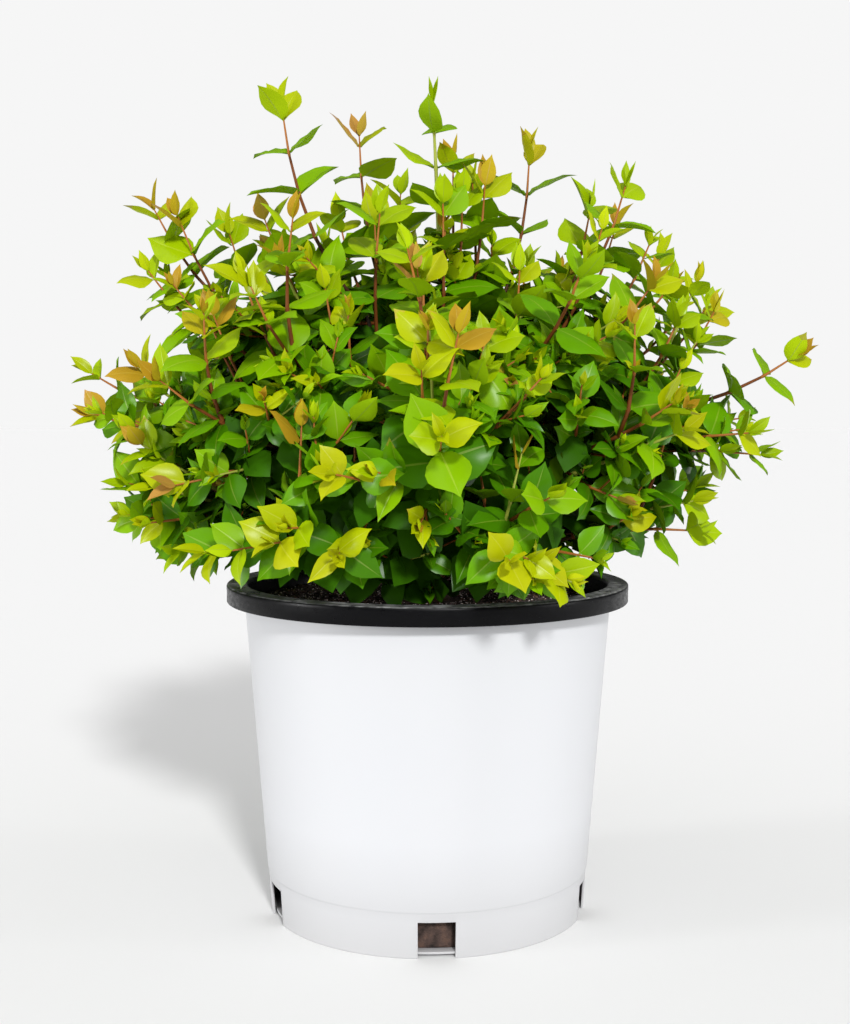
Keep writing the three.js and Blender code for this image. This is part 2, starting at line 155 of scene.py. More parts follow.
# Finer shoots that stand out of the crown: x, y and height of the tip, and the colour it ends in.
LONG_SHOOTS = (
    (18, 40, 540, "bronze"), (31, 30, 523, "gold_lime"), (10, -30, 500, "lime"),
    (-19, 60, 519, "lime"), (-38, 30, 502, "amber"), (-66, 60, 498, "gold_lime"),
    (-172, -25, 490, "bronze"), (-112, -30, 487, "rose"), (-100, -70, 458, "bronze"),
    (-140, -80, 420, "bronze"), (-50, -100, 424, "bronze"), (-3, -120, 446, "yellow"),
    (117, 25, 503, "lime"), (153, -60, 441, "bronze"), (176, -10, 447, "bronze"),
    (234, 30, 345, "lime"), (-57, -205, 314, "yellow"), (-52, -186, 262, "yellow"),
    (-86, -178, 281, "yellow"), (48, -200, 262, "yellow"), (72, -165, 258, "yellow"),
    (74, -190, 302, "lime"), (166, -120, 340, "yellow"), (-165, -120, 300, "rose"),
    (-193, -70, 332, "bronze"), (-30, -50, 490, "lime"), (60, -60, 452, "lime"),
    (36, -150, 400, "lime"), (190, -40, 300, "lime"), (-20, 110, 500, "bronze"),
    (80, 120, 470, "lime"), (-90, 130, 470, "bronze"), (130, 150, 410, "rose"),
    (-160, 110, 400, "bronze"), (20, 215, 400, "bronze"), (-40, 200, 300, "yellow"),
    (110, 190, 300, "lime"), (-195, -20, 452, "gold_lime"), (-173, -50, 440, "bronze"),
    (-187, 5, 452, "lime"), (-146, -70, 422, "gold_lime"), (-236, -25, 350, "bronze"),
    (-222, 45, 345, "rose"), (-206, -60, 303, "lime"), (-205, 30, 270, "gold_lime"),
    (-228, -50, 352, "gold_lime"), (-197, -50, 384, "bronze"), (-119, -100, 444, "gold_lime"),
    (-181, -70, 323, "lime"), (-187, -70, 301, "gold_lime"), (-4, -200, 378, "yellow"),
    (-150, -110, 258, "gold_lime"), (-172, -60, 252, "lime"), (-128, -138, 262, "lime"),
    (-190, -85, 275, "yellow"), (160, 10, 478, "gold_lime"), (186, -25, 450, "amber"),
    (206, 35, 432, "lime"), (140, 60, 492, "bronze"), (222, -30, 338, "gold_lime"),
    (218, -70, 335, "lime"), (168, -60, 420, "lime"), (232, -45, 318, "lime"),
    (182, -75, 292, "gold_lime"), (206, 40, 300, "lime"), (45, 20, 478, "lime"),
    (20, -20, 457, "gold_lime"), (30, 35, 445, "lime"), (118, -40, 480, "gold_lime"),
    (205, 10, 427, "amber"), (190, -20, 408, "lime"), (210, -20, 337, "gold_lime"),
    (203, 10, 318, "lime"), (205, -45, 322, "lime"), (67, -172, 246, "gold_lime"),
    (92, -168, 244, "yellow"), (112, -150, 258, "lime"), (-72, 0, 478, "lime"),
    (-140, 5, 482, "gold_lime"), (-200, -60, 340, "lime"), (-190, -40, 362, "gold_lime"),
    (40, 0, 516, "bronze"), (24, -10, 508, "lime"),
)

# Leaf colours from the shaded inside of the crown to its sunlit tips, darker to lighter as painted
# shade and light, then those of young tips.
INNER_TO_OUTER = ("deep", "dark", "mid", "bright", "lime", "gold_lime")
TIP_TINTS = ("yellow", "amber", "bronze", "rose")
TINTS = INNER_TO_OUTER + TIP_TINTS
LOW_TIPS = ("lime", "gold_lime", "yellow", "gold_lime")
FINER_TIPS = ("lime", "bright", "gold_lime", "lime", "bright")
HIGH_TIPS = ("lime", "gold_lime", "bronze", "gold_lime", "amber", "rose", "bronze")

# Depths between which leaf colours go from painted shade to painted light, and heights of the crown's
# foot darkened as painted shade and its top lightened as painted light.
LIT_DEPTHS, SHADED_HEIGHTS, LIGHT_HEIGHTS = (0.5, 0.96), (384.0, 264.0), (385.0, 475.0)
OUTERMOST, OUTER, TIP_DEPTH = 1.12, 0.8, 0.76

# Leaf blades: bend along the midrib, fold of the halves, twist, and breadth as a share of length.
BLADE_SHAPES = (
    (-20, 30, 0, 0.50), (12, 34, 8, 0.54), (26, 38, -8, 0.48), (-8, 24, 4, 0.57),
    (18, 8, 6, 0.70), (34, 14, -8, 0.64), (44, 12, 12, 0.66), (26, 26, -14, 0.62),
    (8, 18, 16, 0.71), (54, 20, -6, 0.62), (42, 4, 20, 0.73), (22, 40, 4, 0.60),
    (40, 22, -20, 0.68), (-14, 16, 8, 0.66), (-12, 30, 4, 0.56), (12, 24, -8, 0.52),
    (30, 16, 10, 0.60), (4, 34, 12, 0.50), (22, 10, -6, 0.62), (20, 20, 8, 0.72),
    (38, 12, -10, 0.68), (5, 30, 5, 0.70),
)
# The first blade of each kind, and how many there are.
BLADE_KINDS = {"young": (0, 4), "grown": (4, 10), "flushed": (14, 5), "inner": (19, 3)}
# Half the breadth of a leaf along its length: ovate, with a drawn-out tip.
OUTLINE = (
    (0.0, 0.05, 0.09, 0.17, 0.29, 0.43, 0.59, 0.74, 0.87, 1.0),
    (0.018, 0.018, 0.19, 0.345, 0.465, 0.5, 0.445, 0.3, 0.112, 0.0),
)
INNER_ROWS = (0.0, 0.06, 0.17, 0.36, 0.66, 1.0)
UPPER_COLUMNS = (-1.0, -0.52, -0.045, 0.045, 0.52, 1.0)
UNDER_COLUMNS = (-1.0, -0.06, 0.06, 1.0)
PLAIN_COLUMNS = (-1.0, 0.0, 1.0)
VEIN_SLANT, CUPPING, WAVE, QUILT, THICKNESS = 0.07, 1.1, 0.024, 0.026, 0.034
LEAST_BEND = 0.01
# The layers of a leaf and the colours of its faces by number, where the upper side is 0.
UNDER, RIB, FLUSH = 1, 2, 3

# Other colours of plastic, soil, bark and leaves, which those of the settings lean towards; the pot's
# foot grey is painted shade, and the rim's grey is scuffs with a painted sheen.
COOL_WHITE, FOOT_SHADE, SCUFF_AND_SHEEN = (0.5, 0.55, 0.65), (0.455, 0.455, 0.462), (0.6, 0.6, 0.6)
BLACK, WARM_CRUMB, CHIP = (0.0, 0.0, 0.0), (0.3, 0.16, 0.1), (0.22, 0.10, 0.06)
DARK_BARK, PALE_BARK = (0.02, 0.008, 0.006), (0.4, 0.24, 0.15)
LEAF_UNDER, LEAF_RIB, LEAF_FLUSH = (0.42, 0.52, 0.01), (0.75, 0.7, 0.04), (0.42, 0.17, 0.012)

# Facets round the pot, the width of a notch in facets, and the azimuth of the first notch.
WALL_SEGMENTS, NOTCH_SEGMENTS, NOTCH_AZIMUTH = 200, 7, 3.0

# Top of the foot band, depth of the rim's liner, foot of the soil, how far the soil stays inside
# the wall's outer face and further in at the notches and the foot, and how many crumbs lie on it.
BAND_TOP, LINER_DEPTH = 30.0, 27.0
SOIL_FOOT, SOIL_GAP, NOTCH_GAP, FOOT_GAP = 3.9, 3.5, 8.0, 6.0
CRUMBS, CRUMB_SHAPES = 4200, 12


def seeded_random(seed):
    """Numbers from 0 to 1 that are the same at every run."""
    state = seed

    def draw():
        nonlocal state
        state = state * 48271 % 2147483647
        return state / 2147483647

    return draw


def lerp(start, end, share):
    return start + (end - start) * share


def progress(value, start, end):
    """0 up to the start, 1 from the end on, and in step between them."""
    return min(max((value - start) / (end - start), 0.0), 1.0)


def unit(vector):
    return vector / math.sqrt(float(vector @ vector))


def picked(choices, dice):
    return choices[int(dice * len(choices))]


def scattered(spread, random):
    """A random offset of up to the spread each way."""
    return np.array([lerp(-spread, spread, random()) for _ in range(3)])


def heading(azimuth):
    """Azimuth 0 points to the front, and 90 degrees points to +X."""
    angle = math.radians(azimuth)
    return np.array((math.sin(angle), -math.cos(angle), 0.0))


def frame_across(along):
    """Two directions square to a shoot that don't spin along it."""
    across = unit(np.cross(np.array((0.31, 0.95, 0.05)), along))
    return across, np.cross(across, along)


class Arc:
    """The line of a stem or shoot: a curve from its root over a bend to its tip."""

    STEPS = 12

    def __init__(self, root, bend, tip):
        self.points = (root, bend, tip)
        steps = [self.at(i / self.STEPS) for i in range(self.STEPS + 1)]
        self.length = sum(math.dist(*pair) for pair in zip(steps, steps[1:]))

    def at(self, t):
        root, bend, tip = self.points
        return (1 - t) ** 2 * root + 2 * t * (1 - t) * bend + t * t * tip

    def along(self, t):
        root, bend, tip = self.points
        return unit((1 - t) * (bend - root) + t * (tip - bend))


def main_line(azimuth, reach, height):
    """The line of a main stem, from inside the base to the tip of its last leaves."""
    tallness = (height - LOWEST_TIP) / (HIGHEST_TIP - LOWEST_TIP)
    outward = heading(azimuth)
    inset = min(lerp(LOW_INSET, HIGH_INSET, tallness), reach * INSET_OF_REACH)
    start = outward * inset + UP * lerp(LOW_START, HIGH_START, tallness)
    tip = outward * reach + UP * height
    rise = math.radians(lerp(LOW_RISE, HIGH_RISE, tallness))
    lean = outward * math.cos(rise) + UP * math.sin(rise)
    return Arc(start, start + lean * (BEND_SHARE * math.dist(start, tip)), tip)


def in_own_space(point, centres, index):
    """True where a point is nearer to its own mass's centre than to any other, by a margin."""
    apart = np.linalg.norm(centres - centres[index], axis=1)
    apart[index] = 1.0
    lead = ((centres - point) ** 2).sum(axis=1) - ((centres[index] - point) ** 2).sum()
    share = lead / (2 * apart)
    share[index] = math.inf
    return bool((share > ENTRY_MARGIN).all())


def entry_share(line, centres, index):
    """The share of a main line from which it stays in its mass's own space."""
    entry = STEM_END
    while entry > 0 and in_own_space(line.at(entry), centres, index):
        entry -= ENTRY_STEP
    return max(entry + ENTRY_STEP, EARLIEST_ENTRY)


def upturned(root, lean, tip):
    """The line of a shoot: high in the crown it leads outwards first and then turns up."""
    span = math.dist(root, tip)
    outward = tip * (1, 1, 0) / max(math.hypot(tip[0], tip[1]), 60)
    rising = (root + tip) / 2 + (outward - UP) * (UPTURN * span)
    upright = progress(tip[2], *UPTURN_HEIGHTS)
    return Arc(root, lerp(root + lean * (BEND_SHARE * span), rising, upright), tip)


def limb_radius(share):
    return lerp(BOUGH_RADIUS, TIP_RADIUS, share)


def tips_at(height):
    """The colours that shoots may end in at a height."""
    return LOW_TIPS if height < LOW_MASS else HIGH_TIPS


def clear_of_pot(point):
    """True where a point is clear of the soil and the rim."""
    x, y, z = point
    out = math.hypot(x, y)
    return z > (OVER_SOIL if out < SOIL_REACH else OVER_RIM if out < RIM_REACH else OUTSIDE)


class Shoot:
    """A leafy shoot: its line, its thickness at the foot, how its tip is coloured, and its leaves."""

    TALL = 480.0
    GREEN_SHARE, STRETCHED_SHARE = 0.16, 0.62

    # What a plain shoot has, and below it what a stretched one has instead.
    thickening = 0.014
    gaps = (4.0, 9.0, 15.0, 21.0)
    turning = 0.36
    start_size = 6.0
    young_end = 9.0
    breadth = 1.0
    spacing = 1.0
    STRETCHED = {
        "opening": (20.0, 12.0),
        "gaps": (7.0, 19.0, 26.0, 30.0),
        "turning": 0.62,
        "start_size": 14.0,
        "young_end": 3.0,
        "breadth": 1.12,
        "spacing": 1.18,
    }

    def __init__(self, line, foot_radius, vigour, tip_tint, random, end=SIDE_END):
        self.line = line
        self.foot_radius = foot_radius
        self.tip_tint = tip_tint
        self.end = end
        leading, tall = end > SIDE_END, line.points[2][2] > self.TALL
        self.vigour = vigour * (1.12 if tall else 1.0)
        self.phase = math.pi / 4 + lerp(-0.4, 0.4, random()) if leading else random() * math.tau
        self.green = random() < self.GREEN_SHARE
        self.light = lerp(-0.5, 0.5, random())
        self.opening = SLOW_OPENING if random() < 0.5 else QUICK_OPENING
        if leading and (random() < self.STRETCHED_SHARE or tall):
            vars(self).update(self.STRETCHED)

    def share_at(self, distance):
        """The share of the line that lies a distance below the tip of the shoot."""
        return 1 - (distance + self.end) / self.line.length


class Shrub:
    """All shoots and leaves of the crown, worked out once for the pieces that need them."""

    def __init__(self, settings):
        self.settings = settings
        self.lines = [main_line(*place) for place in MAIN_STEMS.values()]
        tips = np.array([line.points[2] for line in self.lines])
        centres = CROWN_CENTRE + (tips - CROWN_CENTRE) * SPACE_SHARE
        self.entries = [entry_share(line, centres, i) for i, line in enumerate(self.lines)]
        self.leaders = [
            upturned(line.at(entry), line.along(entry), line.points[2])
            for line, entry in zip(self.lines, self.entries)
        ]
        self.reaches = np.linalg.norm(tips - CROWN_CENTRE, axis=1) + REACH_MARGIN
        self.tip_headings = (tips - CROWN_CENTRE) / (self.reaches - REACH_MARGIN)[:, None]
        self.shoots = []
        self.leaves = {tint: [] for tint in TINTS}
        for index in range(len(self.lines)):
            self.grow_mass(index)
        self.grow_rising_shoots()
        self.grow_long_shoots()
        random = seeded_random(SEED * SEED_STEP)
        for shoot in self.shoots:
            self.dress(shoot, random)

    def add_shoot(self, *facts):
        shoot = Shoot(*facts)
        self.shoots.append(shoot)
        return shoot

    def stem_at(self, index, share):
        """Place and direction on a main stem, and past its bough on the shoot that leads on."""
        line, entry = self.lines[index], self.entries[index]
        if share > entry:
            line, share = self.leaders[index], (share - entry) / (1 - entry)
        return line.at(share), line.along(share)

    def reach_towards(self, point):
        """How far the crown reaches in the direction of a point, from the nearest main stems."""
        offset = point - CROWN_CENTRE
        size = math.sqrt(float(offset @ offset)) or 1.0
        nearness = np.maximum(self.tip_headings @ (offset / size), 0.0) ** NEAREST_STEMS + 1e-6
        return float((nearness * self.reaches).sum() / nearness.sum())

    def dense_share(self, point):
        """How much of the crown's reach is closely filled: less towards its top."""
        offset = point - CROWN_CENTRE
        steepness = offset[2] / (math.sqrt(float(offset @ offset)) or 1.0)
        return min(DENSEST - DENSE_LOSS * steepness, DENSEST)

    def grow_mass(self, index):
        """The leading shoot of a mass, its side shoots by the source's rule, and finer twigs."""
        settings = self.settings
        random = seeded_random(SEED + SEED_STEP * index)
        line, entry, lead = self.lines[index], self.entries[index], self.leaders[index]
        reach = self.reaches[index] - REACH_MARGIN
        x, _, height = line.points[2]
        low, left, tall = height < LOW_MASS, x < LEFT_PART, height > TALL_MASS
        tips = tips_at(height)
        tint = tips[(index + 2) % len(tips)]
        leader = self.add_shoot(lead, limb_radius(entry), 1.0, tint, random, LEADER_END)
        if index == TOP_STEM:
            leader.green, leader.phase, leader.tip_tint = True, 0.0, "lime"
            leader.foot_radius, leader.thickening, leader.gaps = 2.3, 0.03, TOP_GAPS
        if index == LONE_STEM:
            leader.tip_tint, leader.turning = "bronze", 1.2
        count = settings.side_shoots
        last = LAST_TALL_TWIG if tall or index == LONE_STEM else LAST_TWIG
        if low:
            count += 2 if left else -1
            last = LAST_LOW_TWIG if left else last
        for i in range(count):
            age = i / count
            share = lerp(min(entry + FIRST_TWIG, last - 0.1), last, age)
            angle = math.radians(lerp(WIDE_ANGLE, NARROW_ANGLE, age))
            roll = i * GOLDEN_ANGLE + random()
            length = TWIG_LENGTH * (1 - TWIG_SHORTENING * age)
            length *= lerp(*TWIG_VARIETY, random())
            lift = TWIG_LIFT
            if low:
                lift = lerp(LEFT_LIFT if left else RIGHT_LIFT, TWIG_LIFT, random())
            fill = lerp(0.9, 1.14, random())
            share = (share - entry) / (1 - entry)
            side = self.fitted_twig(lead, share, roll, angle, length, reach, fill, lift)
            if side is not None:
                self.add_shoot(side, *SIDE_SHOOT, picked(tips, random()), random)
                self.grow_finer(side, reach, random)
        for i in range(settings.inner_twigs):
            share = lerp(0.16, entry, (i + 0.5) / settings.inner_twigs)
            roll = i * GOLDEN_ANGLE + random() * 2
            length = lerp(34, 60, random())
            twig = self.fitted_twig(line, share, roll, STEEPER, length, reach, 1.0)
            if twig is not None:
                self.add_shoot(twig, *INNER_TWIG, "mid", random)

    def grow_finer(self, parent, reach, random):
        """Short twigs on a side shoot."""
        for i in range(self.settings.finer_twigs):
            share = lerp(0.22, 0.62, (i + random()) / self.settings.finer_twigs)
            roll = i * math.pi + random() * 2
            length = parent.length * lerp(0.4, 0.62, random())
            fill = lerp(0.86, 1.02, random())
            twig = self.fitted_twig(parent, share, roll, STEEP, length, reach, fill)
            if twig is not None:
                tint = picked(FINER_TIPS, random())
                self.add_shoot(twig, *FINER_TWIG, tint, random).opening = SLOW_OPENING

    def fitted_twig(self, parent, share, roll, angle, length, reach, fill, lift=TWIG_LIFT):
        """A twig's line that leaves its parent at an angle and bends up to the light.
        One that doesn't fit is turned and shortened a few times, then left out."""
        root, along = parent.at(share), parent.along(share)
        across, over = frame_across(along)
        for _ in range(TWIG_ATTEMPTS):
            aside = across * math.cos(roll) + over * math.sin(roll)
            direction = along * math.cos(angle) + aside * math.sin(angle) + UP * lift
            bend = root + direction * (TWIG_BEND * length)
            tip = root + direction * length + UP * (TWIG_CURL * length)
            limit = min(reach, self.reach_towards(tip)) * self.dense_share(tip) * fill - REACH_MARGIN
            within = math.dist(tip, CROWN_CENTRE) < limit
            if within and clear_of_pot(tip - UP * 8) and clear_of_pot(bend - UP * 4):
                return Arc(root, bend, tip)
            roll += GOLDEN_ANGLE
            length *= RETRY_LENGTH
        return None

    def free_standing_tips(self, random):
        """The tips of more long shoots at the back, spread about those of its main stems."""
        for (azimuth, _, _), way in zip(MAIN_STEMS.values(), self.tip_headings):
            for _ in range(3 if abs(azimuth) > 95 else 0):
                way_there = unit(way + scattered(0.42, random))
                size = self.reach_towards(CROWN_CENTRE + way_there * 100) - REACH_MARGIN
                x, y, z = CROWN_CENTRE + way_there * size * lerp(0.84, 0.99, random())
                tint = picked(tips_at(z), random())
                if 235 < z < 470 and abs(x) < 190:
                    yield x, y, z, tint

    def grow_rising_shoots(self):
        """Shoots that rise from the outer part of the lower and middle main stems."""
        random = seeded_random(SEED * 5)
        for index, (azimuth, _, height) in enumerate(MAIN_STEMS.values()):
            if height > 440 or index == LONE_STEM:
                continue
            for first, last in ((0.5, 0.62), (0.7, 0.8)):
                root, along = self.stem_at(index, lerp(first, last, random()))
                way = heading(azimuth + lerp(-50, 50, random())) * lerp(0.15, 0.5, random()) + UP
                length = lerp(70, 108, random())
                tip = root + unit(way) * length
                spare = self.reach_towards(tip) - math.dist(tip, CROWN_CENTRE)
                tip = tip + unit(tip - CROWN_CENTRE) * min(spare - 8, 0)
                if abs(tip[0]) > 192:
                    continue
                bend = root + (along * 0.4 + UP * 0.5) * (BEND_SHARE * length)
                tint = picked(tips_at(tip[2]), random())
                line = Arc(root, bend, tip)
                self.add_shoot(line, RISING_SHOOT_RADIUS, 1.0, tint, random, LEADER_END)

    def grow_long_shoots(self):
        """The finer shoots that stand out of the crown, from the main stem that leads their way."""
        random = seeded_random(SEED * 3)
        for x, y, z, tint in LONG_SHOOTS + tuple(self.free_standing_tips(random)):
            tip = np.array((x, y, z), float)
            index = int((self.tip_headings @ unit(tip - CROWN_CENTRE)).argmax())
            root, along = self.stem_at(index, lerp(0.3, 0.45, random()))
            lean = unit(unit(tip - root) + along * 0.6 + UP * 0.25)
            radius = min(LONG_SHOOT_RADIUS, TWIG_TIP_RADIUS + 0.009 * math.dist(root, tip))
            self.add_shoot(upturned(root, lean, tip), radius, 1.0, tint, random, LEADER_END)

    def dress(self, shoot, random):
        """Leaf pairs from the tip of a shoot down to its root, turned a quarter from node to node."""
        settings = self.settings
        total = shoot.line.length - shoot.end
        first, pace = shoot.opening
        distance, node = 0.5, 0
        shoot.nodes = []
        while distance < total - 5:
            share = shoot.share_at(distance)
            place, along = shoot.line.at(share), shoot.line.along(share)
            across, over = frame_across(along)
            turn = shoot.phase + node * math.pi / 2 + lerp(-0.2, 0.2, random())
            size = settings.leaf_length / MM
            size *= 1 - math.exp(-(distance + shoot.start_size) / LEAF_GROWTH)
            size *= lerp(0.86, 1.16, random()) * shoot.vigour * (1.0 if node else 0.86)
            spread = lerp(first, LAST_SPREAD, 1 - math.exp(-distance / pace))
            spread = math.radians(spread + lerp(-8, 8, random()))
            for side in (-1, 1):
                aside = (across * math.cos(turn) + over * math.sin(turn)) * side
                self.add_leaf(shoot, place, along, aside, spread, size, distance, random)
            if distance > 22 and random() < settings.axil_share:
                for side in (-1, 1):
                    aside = (over * math.cos(turn) - across * math.sin(turn)) * side
                    small = lerp(7, 13, random())
                    self.add_leaf(shoot, place, along, aside, math.radians(40), small, 12, random)
            if distance > 14:
                shoot.nodes.append(distance)
            if node < len(shoot.gaps):
                distance += shoot.gaps[node]
            else:
                spacing = settings.node_spacing / MM * shoot.spacing
                distance += spacing * lerp(0.86, 1.14, random()) * shoot.vigour
            node += 1

    def add_leaf(self, shoot, place, along, aside, spread, size, distance, random):
        """One leaf: its direction, the side it turns to the light, its shape and its colour."""
        outward = unit(place - CROWN_CENTRE + UP * 20)
        age = 1 - math.exp(-distance / LEAF_AGING)
        direction = along * math.cos(spread) + aside * math.sin(spread) + UP * lerp(0.12, -0.12, age)
        direction = unit(direction + scattered(0.14, random))
        inner = along * math.sin(spread) - aside * math.cos(spread)
        facing = inner * 0.75 + outward * lerp(0.2, 0.75, age) + UP * 0.3
        facing = facing + scattered(0.5, random) + LIGHT_WAY * shoot.turning
        normal = unit(facing - direction * float(facing @ direction))
        for _ in range(4):
            if clear_of_pot(place + direction * size - normal * size * 0.25):
                break
            direction = unit(direction + UP * 0.45)
            normal = unit(facing - direction * float(facing @ direction))
        else:
            return
        tip = place + direction * size
        depth = math.dist(tip, CROWN_CENTRE) / self.reach_towards(tip)
        if depth > OUTERMOST:
            return
        depth /= self.dense_share(tip)
        tint = self.tint_of(shoot, distance, depth, place, random())
        red = shoot.tip_tint in TIP_TINTS[1:]
        flushed = red and depth > OUTER and random() < math.exp(-distance / 16)
        kind = "flushed" if flushed else "grown"
        if distance < shoot.young_end:
            kind = "young"
        if tint == "deep":
            kind = "inner"
        first, count = BLADE_KINDS[kind]
        blade = first + int(random() * count)
        breadth = lerp(0.9, 1.12, random()) * shoot.breadth
        self.leaves[tint].append((place, direction, normal, size, breadth, blade))

    def tint_of(self, shoot, distance, depth, place, dice):
        """The name of a leaf's colour, by its place in the crown and on its shoot: deeper and lower
        leaves get darker greens as painted shade, and those at the top lighter ones as painted light.
        """
        if depth > TIP_DEPTH and distance < (3 if dice > 0.2 else 9):
            return shoot.tip_tint
        if depth > OUTER and distance < 18 and shoot.tip_tint in TIP_TINTS:
            if shoot.tip_tint == "yellow" and dice < (0.5 if distance < 9 else 0.12):
                return "yellow"
            return "amber" if dice < 0.16 else "gold_lime" if dice < 0.75 else "lime"
        # Darker inside and low down as painted shade, and lighter at the top as painted light.
        light = progress(depth, *LIT_DEPTHS)
        low, high = progress(place[2], *SHADED_HEIGHTS), progress(place[2], *LIGHT_HEIGHTS)
        level = -0.3 + 2.6 * light + 1.8 * math.exp(-distance / 34) * light
        level += (dice - 0.5) * 1.5 + shoot.light - 0.95 * low
        level = lerp(level, max(level, 3.0), high)
        return INNER_TO_OUTER[min(max(round(level), 0), len(INNER_TO_OUTER) - 1)]


_grown = []


def grown_shrub(context):
    """The shrub's shoots and leaves, worked out at the first call."""
    if not _grown:
        _grown.append(Shrub(context.scene.shrub_settings))
    return _grown[0]


# Meshes


def half_width(share):
    return float(np.interp(share, *OUTLINE))


def blade_point(across, share, layer, bend, fold, twist, breadth, row):
    """Where a point of a flat blade goes once the leaf is arched, folded and twisted."""
    reach = min(share + VEIN_SLANT * math.sin(math.pi * share) * abs(across), 1.0)
    wide = across * half_width(reach) * breadth
    arch, fold = math.radians(bend), math.radians(fold)
    if abs(arch) < LEAST_BEND:
        arch = LEAST_BEND
    turned = arch * reach
    along, drop = math.sin(turned) / arch, (math.cos(turned) - 1) / arch
    height = abs(wide) * math.sin(fold) - CUPPING * wide * wide
    height += WAVE * math.sin(9 * reach + bend) * wide * 2
    if 0 < share < 1:
        if layer == UNDER:
            height -= THICKNESS * (1 - share * share) * (1 - across * across)
        elif row % 2 and 0.3 < abs(across) < 0.8:
            height += QUILT * half_width(reach) * 2
    side = wide * math.cos(fold)
    roll = math.radians(twist) * reach
    side, height = (
        side * math.cos(roll) - height * math.sin(roll),
        side * math.sin(roll) + height * math.cos(roll),
    )
    return Vector((side, along + height * math.sin(turned), drop + height * math.cos(turned)))


def corners_and_faces(bm):
    """A finished bmesh as plain lists of corners, faces and face colours."""
    bm.verts.index_update()
    corners = np.array([vert.co for vert in bm.verts])
    faces = [[vert.index for vert in face.verts] for face in bm.faces]
    colours = [face.material_index for face in bm.faces]
    bm.free()
    return corners, faces, colours


def leaf_blade(bend, fold, twist, breadth, kind):
    """One leaf a unit long from its root at the origin along +Y: corners, faces and face colours.
    A flushed leaf is reddened along the edge of its outer half, and an inner one is simpler."""
    bm = bmesh.new()
    plain = kind == "inner"
    rows = INNER_ROWS if plain else OUTLINE[0]
    layers = (PLAIN_COLUMNS, PLAIN_COLUMNS) if plain else (UPPER_COLUMNS, UNDER_COLUMNS)
    for layer, columns in enumerate(layers):
        wide, long = len(columns) - 1, len(rows) - 1
        made = bmesh.ops.create_grid(bm, x_segments=wide, y_segments=long, size=0.5)["verts"]
        faces = {face for vert in made for face in vert.link_faces}
        for face in faces:
            centre = face.calc_center_median()
            column, row = int((centre.x + 0.5) * wide), int((centre.y + 0.5) * long)
            on_rib = not plain and (row == 0 or column == len(columns) // 2 - 1)
            outer = layer == UNDER or column in (0, 4)
            face.material_index = RIB if on_rib else layer
            if kind == "flushed" and (row > 7 or (row > 6 and outer)):
                face.material_index = FLUSH
        if layer == UNDER:
            bmesh.ops.reverse_faces(bm, faces=list(faces))
        for vert in made:
            column, row = round((vert.co.x + 0.5) * wide), round((vert.co.y + 0.5) * long)
            place = (columns[column], rows[row], layer)
            vert.co = blade_point(*place, bend, fold, twist, breadth, row)
    bmesh.ops.remove_doubles(bm, verts=bm.verts, dist=1e-5)
    bmesh.ops.dissolve_degenerate(bm, dist=1e-6, edges=bm.edges)
    return corners_and_faces(bm)


def finished(name, mesh, materials, sharp_angle=None):
    """An object of a mesh, with its materials, and with sharp edges from an angle up."""
    for material in materials:
        mesh.materials.append(material)
    if sharp_angle is not None:
        mesh.set_sharp_from_angle(angle=math.radians(sharp_angle))
    piece = bpy.data.objects.new(name, mesh)
    bpy.context.scene.collection.objects.link(piece)
    return piece


def joined(name, parts, materials, smooth=True):
    """One mesh object from many small things, each given as corners, faces and face colours."""
    corners, faces, colours, first = [], [], [], 0
    for part_corners, part_faces, part_colours in parts:
        corners.append(part_corners)
        faces.extend([[first + i for i in face] for face in part_faces])
        colours.extend(part_colours)
        first += len(part_corners)
    mesh = bpy.data.meshes.new(name)
    mesh.from_pydata((np.concatenate(corners) * MM).tolist(), [], faces)
    mesh.polygons.foreach_set("material_index", colours)
    mesh.polygons.foreach_set("use_smooth", [smooth] * len(faces))
    mesh.update()
    return finished(name, mesh, materials, 100 if smooth else None)


def object_from(bm, name, materials, sharp_angle=None):
    """A mesh object from a finished bmesh in millimetres."""
    bmesh.ops.scale(bm, vec=(MM, MM, MM), verts=bm.verts)
    for face in bm.faces:
        face.smooth = True
    mesh = bpy.data.meshes.new(name)
    bm.to_mesh(mesh)
    bm.free()
    return finished(name, mesh, materials, sharp_angle)


def settle(piece, slot, *nodes):
    """A finished piece rides on the part's body and stands for its CAD nodes."""
    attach(piece, BODY)
    if nodes:
        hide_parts(*nodes)


def swept(points, radii, sides):
    """A closed tube of rings along a line: corners and faces, and the ring each face starts at."""
    corners = []
    for i, (point, radius) in enumerate(zip(points, radii)):
        ahead = points[min(i + 1, len(points) - 1)] - points[max(i - 1, 0)]
        across, over = frame_across(unit(ahead))
        angles = [math.tau * k / sides for k in range(sides)]
        corners += [point + (across * math.cos(a) + over * math.sin(a)) * radius for a in angles]
    faces, starts = [], []
    for i in range(len(points) - 1):
        low, high = i * sides, (i + 1) * sides
        for k in range(sides):
            after = (k + 1) % sides
            faces.append([low + after, low + k, high + k, high + after])
            starts.append(i)
    last = (len(points) - 1) * sides
    faces += [list(range(sides)), [last + k for k in reversed(range(sides))]]
    starts += [0, len(points) - 2]
    return np.array(corners), faces, starts


def spun(profile, segments, start_azimuth=0.0):
    """A bmesh of a (radius, height) profile turned once round the pot's axis."""
    bm = bmesh.new()
    outward = heading(start_azimuth)
    verts = [bm.verts.new(outward * radius + UP * height) for radius, height in profile]
    edges = [bm.edges.new(pair) for pair in zip(verts, verts[1:])]
    bmesh.ops.spin(
        bm, geom=verts + edges, cent=(0, 0, 0), axis=(0, 0, 1), angle=math.tau, steps=segments,
        use_merge=True,
    )
    bmesh.ops.remove_doubles(bm, verts=bm.verts, dist=1e-4)
    return bm


